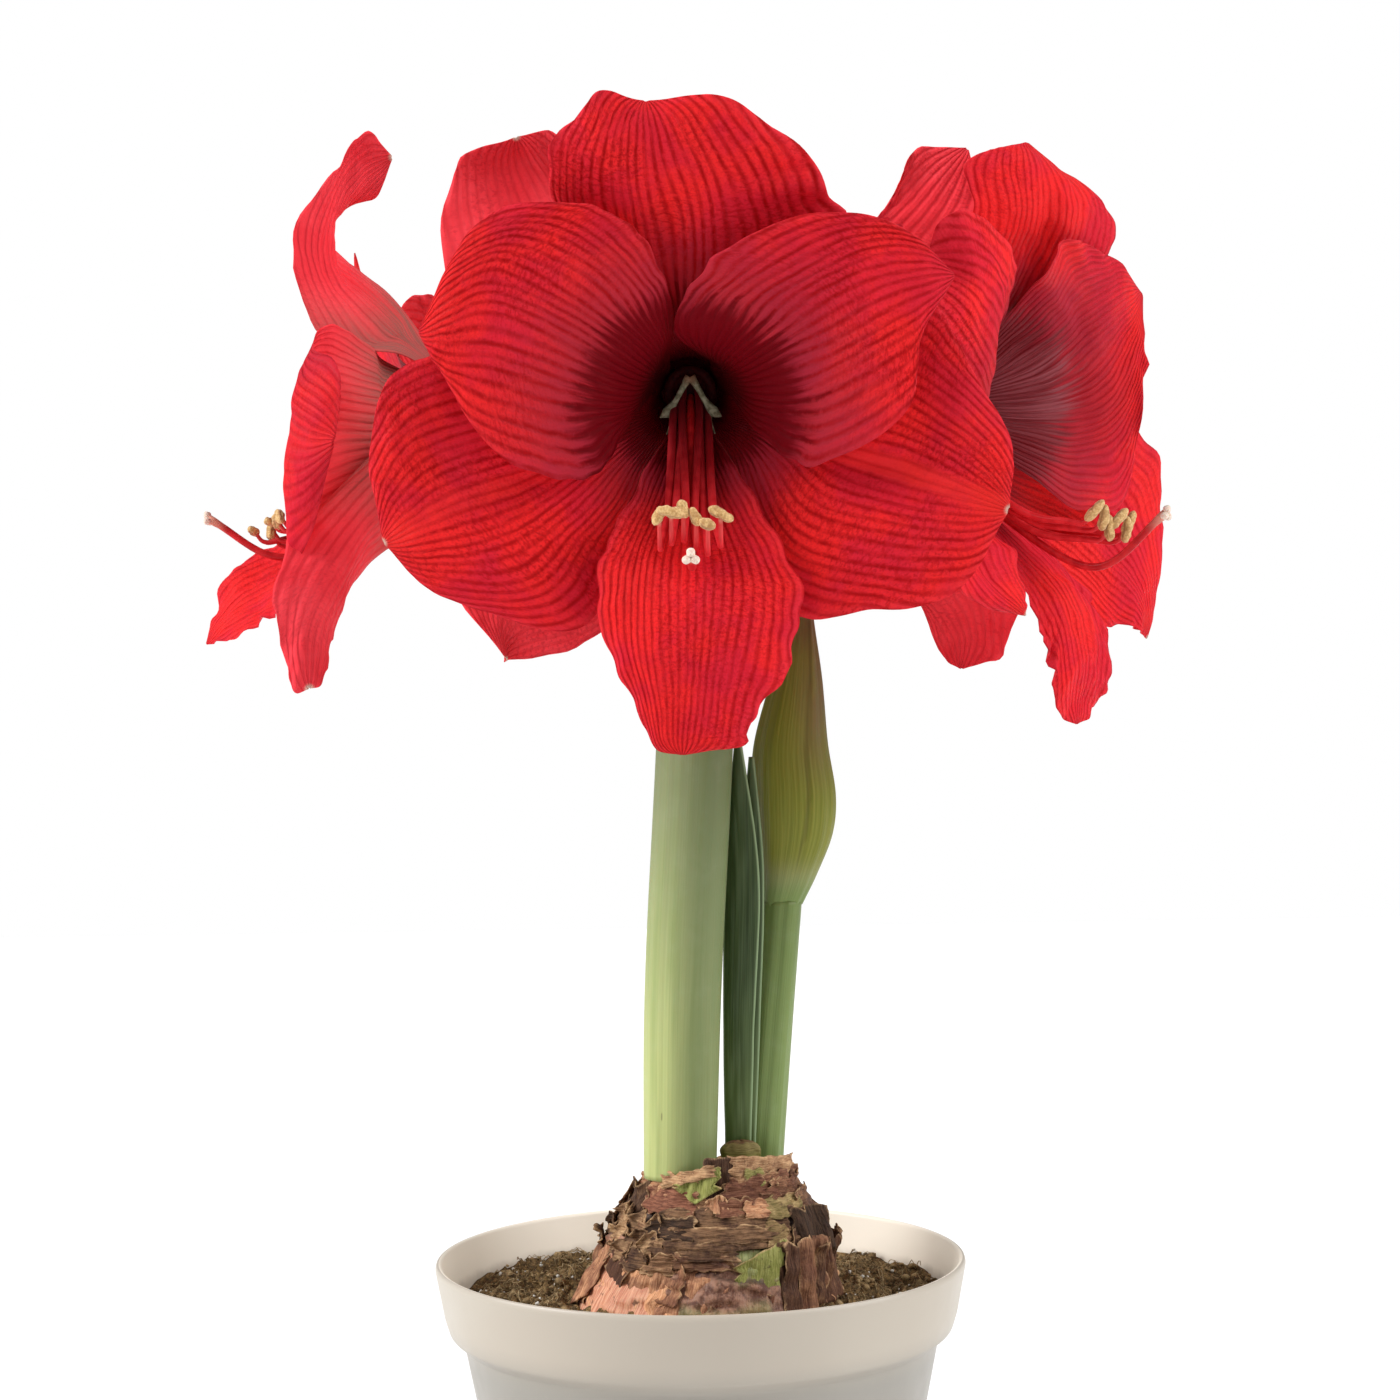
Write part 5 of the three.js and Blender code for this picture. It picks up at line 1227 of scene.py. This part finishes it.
def petalRed():
    # Red in clouds with darker veins and a painted highlight along an outer petal's midrib; towards the throat a mauve
    # painted sheen, then maroon greyed by painted sheen, and nearly black; pinker behind.
    newFinish("red petal", specular=0.07, ior=1.4, subsurfaceWeight=0.1,
              subsurfaceScale=0.002, subsurfaceRadius=(1.0, 0.12, 0.1))
    place = objectPlace()
    vein, along, across = split(pointVector("lay"))
    depth, rim, tipAway = split(pointVector("zone"))
    upper = pointValue("side")
    highlightAmount, veined, throatSheen = split(pointVector("habit"))
    # dark veins that waver and come and go, and a ladder of cross veins that shows in patches
    slow = streaks(vein, along, 0.8, 0.16, 2)
    bent = plus(vein, linear(slow, 0.24, -0.12))
    gap = calc("PINGPONG", bent, 0.5)
    strength = streaks(vein, along, 0.9, 0.05, 2)
    grainy = streaks(vein, along, 5.0, 1.3, 3, 0.6)
    breadth = linear(grainy, 0.3, 0.18)
    line = times(fade(gap, 0.02, breadth, 1, 0), fade(strength, 0.34, 0.6, 0.45, 1.0))
    dash = streaks(vein, along, 1.1, 0.3, 3, 0.6)
    line = times(line, fade(dash, 0.34, 0.54, 0.4, 1.0))
    rungs = streaks(bent, along, 1.5, 0.95, 3, 0.65)
    patch = fade(noise(place, 38, 3, 0.6), 0.4, 0.6, 0.3, 1.0)
    net = times(fade(rungs, 0.48, 0.6), times(patch, fade(depth, 34, 62)))
    streak = streaks(vein, along, 1.6, 0.03, 3, 0.6)
    # red in clouds, with a painted highlight along the midrib of an outer petal, where the veins fade
    cloud = noise(place, 36, 4, 0.6)
    red = twoTone(cloud, (0.88, 0.022, 0.023), (0.68, 0.016, 0.036), 0.4, 0.62)
    red = mixed(fade(grainy, 0.45, 0.7, 0.0, 0.4), red, rgb(0.5, 0.008, 0.018))
    colour = mixed(fade(rim, 0.5, 4.0, 0.4, 0.0), red, rgb(0.76, 0.034, 0.052))
    offMid = calc("ABSOLUTE", across)
    # painted highlight along the midrib; the veins fade in it too
    midribHighlight = times(fade(offMid, 2.0, 5.5, 1, 0), times(highlightAmount, fade(depth, 26, 44)))
    plain = calc("SUBTRACT", 1.0, times(midribHighlight, 0.85))
    plain = times(plain, veined)
    line, net = times(line, plain), times(net, plain)
    # the painted highlight's brighter red
    colour = mixed(times(midribHighlight, 0.5), colour, rgb(0.92, 0.034, 0.026))
    # towards the throat a mauve haze, which is painted sheen
    feather = calc("SUBTRACT", depth, linear(streak, 22.0, -11.0))
    feather = calc("SUBTRACT", feather, times(line, 5.5))
    # painted sheen: a mauve haze towards the throat
    colour = mixed(fade(feather, 38, 66, 0.68, 0.0), colour, rgb(0.25, 0.022, 0.042))
    colour = mixed(times(net, 0.6), colour, rgb(0.42, 0.002, 0.004))
    colour = mixed(times(line, 0.95), colour, rgb(0.35, 0.001, 0.002))
    back = twoTone(cloud, (0.98, 0.062, 0.082), (0.86, 0.038, 0.054), 0.36, 0.64)
    back = mixed(times(calc("MAXIMUM", times(line, 0.8), net), 0.6), back, rgb(0.42, 0.006, 0.016))
    pale = times(fade(streak, 0.35, 0.65, 0.55, 1.0), fade(along, 40, 70, 0.97, 0.0))
    back = mixed(pale, back, rgb(0.22, 0.105, 0.085))
    # the throat itself: maroon with feathered streaks, greyed to mauve by painted sheen, then nearly black
    # painted sheen greys the maroon stain to mauve
    mauve = times(throatSheen, fade(streak, 0.38, 0.6, 0.3, 1.0))
    mauve = times(mauve, fade(offMid, 5, 17, 1.0, 0.4))
    stainAndSheen = mixed(mauve, rgb(0.15, 0.0014, 0.005), rgb(0.34, 0.088, 0.105))
    colour = mixed(fade(feather, 31, 40, 0.95, 0.0), colour, stainAndSheen)
    colour = mixed(fade(depth, 8, 22, 0.95, 0.0), colour, rgb(0.05, 0.0022, 0.003))
    colour = mixed(upper, back, colour)
    colour = mixed(fade(tipAway, 0.5, 2.2, 0.85, 0.0), colour, rgb(0.78, 0.62, 0.5))
    pillow = fade(gap, 0.0, 0.36)
    skinGrain = noise(place, 1100, 3, 0.6)
    height = plus(calc("SUBTRACT", pillow, times(net, 0.5)), times(skinGrain, 0.35))
    return finishWith(colour, cloud, (0.46, 0.58), height, 0.0005, 0.85)


def tubeSkin():
    # Green pedicel and ovary; the tube reddens towards the petals, and its inside is nearly black.
    newFinish("flower tube", specular=0.15, subsurfaceWeight=0.08, subsurfaceScale=0.003)
    around, along, reach = split(pointVector("lay"))
    lines = streaks(around, along, 1.4, 0.04, 3, 0.6)
    colour = twoTone(lines, (0.2, 0.28, 0.07), (0.33, 0.4, 0.13))
    rim = twoTone(lines, (0.24, 0.1, 0.08), (0.42, 0.07, 0.065), 0.36, 0.62)
    colour = mixed(fade(reach, 0.66, 1.0, 0.0, 0.95), colour, rim)
    colour = mixed(fade(reach, 1.2, 1.4), colour, rgb(0.06, 0.003, 0.004))
    return finishWith(colour, lines, (0.42, 0.55), lines, 0.0003, 0.6)


def tubePart(flower):
    # Pedicel, three-lobed ovary and floral tube on one smooth path. The tube widens to a cup that holds the
    # tepals' feet; its inner wall is the last rings taken back again, a little smaller.
    ends = inPlace(flower, [(0, 0, -30), (0, 0, petal["tubeBack"] - 0.5), (0, 0, -2)])
    at = np.linspace(0, 1, 60)
    path = smoothCurve(np.vstack([flower["pedicel"], ends]), at)
    swelling = [4.2, 4.8, 7.6] if len(flower["pedicel"]) > 3 else [4.4, 7.6]
    radii = smoothValues([4.1] + swelling + [10.2, 15.2], at)
    sides = 48
    angle = circle(sides)
    lobes = 1 + (0.07 * np.exp(-((at - 0.6) / 0.12) ** 2))[:, None] * np.cos(3 * angle)[None]
    rings = ringsOnPath(path, radii, sides, (0.3, 0.2, 0.1), lobes)
    cup = np.linalg.norm(path - path[-1], axis=1) < 14
    inner = ringsOnPath(path, radii - 0.5, sides, (0.3, 0.2, 0.1), lobes)[cup][::-1]
    at = np.concatenate([at, np.full(len(inner), 2.0)])
    rings = np.concatenate([rings, inner])
    lay = stacked(6 * wayRound(angle, 1), 60 * at[:, None], at[:, None])
    return skin(rings, {"lay": lay})


stamen = {
    "roots": [180, 240, 120, 60, 300, 0], "baseRadius": 1.3, "endRadius": 0.65, "rootLevel": -8.4,
    "crown": [(3.6, -10.2), (8.0, -10.2), (8.5, -8.6), (8.0, -7.4), (6.6, -6.9), (5.6, -7.6), (5.0, -9.0), (3.6, -9.4)],
    "crownSides": 48,
    "antherLength": 7.6, "antherRadius": 1.6,
    "starArm": [(0.3, 5.6, -1.6), (2.2, 2.6, -1.0), (4.6, -1.6, -0.4), (7.2, -5.0, 0.2), (9.6, -6.6, 0.8)],
    "starSize": [1.5, 1.0, 0.95, 1.7, 0.25],
    "starSpur": [(6.4, -5.2, 0.2), (6.2, -8.2, 1.4), (7.6, -11.6, 3.0)],
}


def filamentRed():
    newFinish("filament", specular=0.12, subsurfaceWeight=0.1, subsurfaceScale=0.002)
    reach = split(pointVector("lay"))[1]
    cloud = noise(objectPlace(), 260, 3)
    colour = twoTone(cloud, (0.56, 0.014, 0.02), (0.7, 0.026, 0.034))
    # painted shade: the filaments go nearly black where they run deep into the throat
    colour = mixed(fade(reach, 0.14, 0.42, 0.9, 0.0), colour, rgb(0.11, 0.004, 0.009))
    colour = mixed(fade(reach, 0.8, 0.93), colour, rgb(0.68, 0.06, 0.06))
    colour = mixed(fade(reach, 0.95, 0.99, 0.0, 0.7), colour, rgb(0.75, 0.3, 0.22))
    return finishWith(colour, cloud, (0.38, 0.5), cloud, 0.0002, 0.5)


def pollenYellow():
    newFinish("anther", specular=0.2, sheenWeight=0.2, sheenRoughness=0.6)
    place = objectPlace()
    crease = split(pointVector("lay"))[2]
    grain = noise(place, 1500, 3, 0.6)
    colour = twoTone(grain, (0.56, 0.32, 0.11), (0.8, 0.54, 0.24))
    patchy = noise(place, 420, 2)
    colour = mixed(fade(patchy, 0.5, 0.66, 0.0, 0.6), colour, rgb(0.4, 0.19, 0.06))
    colour = mixed(times(crease, 0.8), colour, rgb(0.28, 0.12, 0.04))
    return finishWith(colour, grain, (0.75, 0.92), grain, 0.0004, 0.9)


def crownAndStar():
    # A near black ring, and the pale star on it.
    newFinish("crown in the throat", specular=0.05)
    cloud = noise(objectPlace(), 700, 3)
    reach, pale = split(pointVector("lay"))[1:3]
    star = twoTone(cloud, (0.13, 0.115, 0.065), (0.3, 0.28, 0.19))
    star = mixed(fade(reach, 0.0, 0.3, 0.85, 0.0), star, rgb(0.2, 0.09, 0.05))
    colour = mixed(pale, twoTone(cloud, (0.02, 0.0015, 0.002), (0.04, 0.003, 0.003)), star)
    return finishWith(colour, cloud, (0.5, 0.65), cloud, 0.0003, 0.6)


def antherPart(flower, centre, heading, tilt, bend, length, seed):
    # A fat banana on an arc: rings square to the arc, creased along two sides and lumpy with pollen.
    at = np.linspace(0, 1, 24)
    arc = (at - 0.5) * length
    line = stacked(arc * math.cos(heading), arc * math.sin(heading) * math.cos(tilt) + bend * (1 - (2 * at - 1) ** 2),
                   arc * math.sin(heading) * math.sin(tilt)) + np.asarray(centre, float)
    sides = 20
    angle = circle(sides)
    radii = stamen["antherRadius"] * np.sqrt(np.clip(1 - np.abs(2 * at - 1) ** 3.2, 0.02, 1))
    crease = np.exp(-(np.sin(angle + 0.4) / 0.22) ** 2)[None]
    spots = stacked(np.cos(angle), np.sin(angle), at[:, None] * length / 1.5)
    rings = ringsOnPath(line, radii, sides, (0.1, 0.2, 1.0), 1 - 0.3 * crease + 0.08 * ripple(spots, 1.6, seed, 20))
    lay = stacked(0, at[:, None], crease * np.sin(np.pi * at)[:, None] ** 0.5)
    return skin(inPlace(flower, rings), {"lay": lay}, 1)


def stamensParts(flower, seed):
    rng = np.random.default_rng(seed)
    parts = []
    crown = turned(stamen["crown"], stamen["crownSides"])
    angle = circle(stamen["crownSides"])
    crown[..., 2] += 0.7 * np.maximum(0, np.cos(6 * angle))[None] * rise(np.hypot(crown[..., 0], crown[..., 1]), 5, 8)
    parts.append(skin(inPlace(flower, crown), {"lay": np.zeros(crown.shape)}, 2))
    # two pale arms meet above the filaments, each with a flared end and a spur that runs on down
    along = np.linspace(0, 1, 26)
    for way in (-1, 1):
        for rail, size in ((stamen["starArm"], stamen["starSize"]), (stamen["starSpur"], [0.7, 0.5, 0.2])):
            arm = smoothCurve(np.array(rail) * [way, 1, 1], along)
            rings = ringsOnPath(arm, smoothValues(size, along), 12, (0, 0, 1))
            lay = stacked(0 * rings[..., 0], along[:, None] + (0.4 if len(rail) == 3 else 0), 1)
            parts.append(skin(inPlace(flower, rings), {"lay": lay}, 2))
    at = np.linspace(0, 1, 46)
    hook = flower.get("hook", 3.2)
    for k, (x, y, z) in enumerate(flower["anthers"]):
        root = math.radians(stamen["roots"][k])
        high = math.sin(root) > 0
        path = [(4.6 * math.cos(root), -2 + 3.4 * math.sin(root), stamen["rootLevel"]),
                (5.4 * math.cos(root), -6.4 if high else -8.6, 4), (x * 0.75, y - 1, 40),
                (x * 0.96, y - hook - 0.2, z - 9), (x, y - hook, z - 2.5), (x, y, z)]
        radii = stamen["baseRadius"] + (stamen["endRadius"] - stamen["baseRadius"]) * rise(at, 0.25, 1.0)
        line = smoothCurve(path, at)
        rings = ringsOnPath(line, radii, 14, (1, 0, 0))
        lay = stacked(0 * rings[..., 0], at[:, None], 0)
        parts.append(skin(inPlace(flower, rings), {"lay": lay}, 0))
        heading, length = flower.get("antherLies", [(rng.uniform(-60, 60), stamen["antherLength"])] * 6)[k]
        parts.append(antherPart(flower, (x, y + 0.9, z + 0.6), math.radians(heading), rng.uniform(-0.3, 0.5),
                                rng.uniform(-0.9, 0.7), length, seed + 20 + k))
    return parts


def styleRed():
    newFinish("style", specular=0.15, subsurfaceWeight=0.1, subsurfaceScale=0.002)
    reach = split(pointVector("lay"))[1]
    cloud = noise(objectPlace(), 260, 3)
    colour = twoTone(cloud, (0.42, 0.006, 0.01), (0.6, 0.016, 0.02))
    colour = mixed(fade(reach, 0.93, 1.0), colour, rgb(0.7, 0.3, 0.22))
    return finishWith(colour, cloud, (0.36, 0.5), cloud, 0.0002, 0.5)


def stigmaCream():
    newFinish("stigma", specular=0.3, sheenWeight=0.3, sheenRoughness=0.6, subsurfaceWeight=0.1,
              subsurfaceScale=0.002)
    grain = noise(objectPlace(), 1800, 3, 0.6)
    colour = twoTone(grain, (0.8, 0.56, 0.45), (0.92, 0.78, 0.66))
    return finishWith(colour, grain, (0.7, 0.85), grain, 0.0004, 0.9)


def pistilParts(flower):
    # The style runs under the filaments; its end spreads into three rounded lobes.
    bend, stigma = flower["styleBend"], np.array(flower["stigma"], float)
    at = np.linspace(0, 1, 56)
    path = smoothCurve([(0, 0, -15.9), (0, -8, 6), (0, bend[1] * 0.62, 28), bend, stigma], at)
    radii = 1.4 - 0.2 * rise(at, 0.2, 0.9) + 0.35 * rise(at, 0.96, 1.0)
    rings = ringsOnPath(path, radii, 16, (1, 0, 0))
    lay = stacked(0 * rings[..., 0], at[:, None], 0)
    parts = [skin(inPlace(flower, rings), {"lay": lay}, 0)]
    for k in range(3):
        turn = math.radians(90 + 120 * k)
        away = np.array([math.cos(turn), math.sin(turn), 0])
        s = np.linspace(0, 1, 16)
        lift = 0.2 + 0.7 * s[:, None] - 0.9 * s[:, None] ** 2
        line = stigma + away * (2.5 * s[:, None]) + np.array([0, 0, 1]) * lift
        size = 1.25 * np.sqrt(np.clip(1 - np.abs(2 * s - 1.12) ** 3, 0.03, 1))
        lobe = ringsOnPath(line, size, 16, (0, 0, 1))
        parts.append(skin(inPlace(flower, lobe), {"lay": np.zeros(lobe.shape)}, 1))
    return parts


def makeFlowers():
    red, tube = petalRed(), tubeSkin()
    stamenFinishes = [filamentRed(), pollenYellow(), crownAndStar()]
    pistilFinishes = [styleRed(), stigmaCream()]
    for f, (name, flower) in enumerate(flowers.items()):
        makePiece(name + "_flower_tube", [tubePart(flower)], [tube], [name + "_tube"])
        for k, (side, spec) in enumerate(flower["tepals"].items()):
            # how strong the painted highlight on its midrib is, how strong its veins are, and how much painted sheen
            # greys its throat
            habit = spec.get("habit", petal["habits"][name])
            front, back, values = tepalSheet(side, spec, habit, 1000 + 100 * f + 13 * k, *petal["grid"][name])
            part = shell(inPlace(flower, front), inPlace(flower, back), values)
            makePiece(f"{name}_petal_{side}", [part], [red], [f"{name}_tepal_{side}"])
        makePiece(name + "_filaments", stamensParts(flower, 900 + f), stamenFinishes, [name + "_stamens"])
        makePiece(name + "_style", pistilParts(flower), pistilFinishes, [name + "_pistil"])
        print(name, "flower made")


stage = {
    "camera": (0.0026, -0.877, 0.333), "roll": 0.86, "lens": 68.32, "sensor": 36,
    "keyAzimuth": -78, "keyHeight": 34, "keyStrength": 3.3, "keySize": 36,
    "fillAzimuth": 76, "fillHeight": 32, "fillStrength": 2.4, "fillSize": 44,
    "worldSeen": 1.0, "worldLight": 0.33, "floorSize": 6.0,
}


def makeFloor():
    half = stage["floorSize"] / 2
    mesh = bpy.data.meshes.new("floor")
    mesh.from_pydata([(-half, -half, 0), (half, -half, 0), (half, half, 0), (-half, half, 0)], [], [(0, 1, 2, 3)])
    newFinish("pale floor", specular=0.1)
    grain = noise(objectPlace(), 300, 2)
    colour = mixed(grain, rgb(0.93, 0.93, 0.93), rgb(0.95, 0.95, 0.95))
    mesh.materials.append(finishWith(colour, grain, (0.75, 0.85)))
    floor = bpy.data.objects.new("floor", mesh)
    bpy.context.scene.collection.objects.link(floor)


def addSun(name, azimuth, height, strength, size):
    # Azimuth 0 is in front of the plant; positive is to its right.
    lamp = bpy.data.lights.new(name, "SUN")
    lamp.energy = strength
    lamp.angle = math.radians(size)
    sun = bpy.data.objects.new(name, lamp)
    sun.rotation_euler = (math.radians(90 - height), 0, math.radians(azimuth))
    bpy.context.scene.collection.objects.link(sun)


def makeStage():
    global tree
    makeFloor()
    addSun("key light", stage["keyAzimuth"], stage["keyHeight"], stage["keyStrength"], stage["keySize"])
    addSun("fill light", stage["fillAzimuth"], stage["fillHeight"], stage["fillStrength"], stage["fillSize"])
    world = bpy.data.worlds.new("studio")
    bpy.context.scene.world = world
    world.use_nodes = True
    tree = world.node_tree
    seen = put("LightPath").outputs["Is Camera Ray"]
    strength = linear(seen, stage["worldSeen"] - stage["worldLight"], stage["worldLight"])
    backdrop = tree.nodes["Background"]
    backdrop.inputs["Color"].default_value = rgb(1, 1, 1)
    tree.links.new(strength, backdrop.inputs["Strength"])
    lens = bpy.data.cameras.new("camera")
    lens.lens, lens.sensor_width = stage["lens"], stage["sensor"]
    camera = bpy.data.objects.new("camera", lens)
    camera.location = stage["camera"]
    camera.rotation_euler = (math.radians(90), math.radians(stage["roll"]), 0)
    bpy.context.scene.collection.objects.link(camera)
    bpy.context.scene.camera = camera
    bpy.context.scene.view_settings.view_transform = "Standard"
    print("floor, lights and camera set")


makeStage()
makePot()
makeSoil()
makeBulb()
makeTunics()
makeStalks()
makeBud()
makeBlades()
makeFlowers()
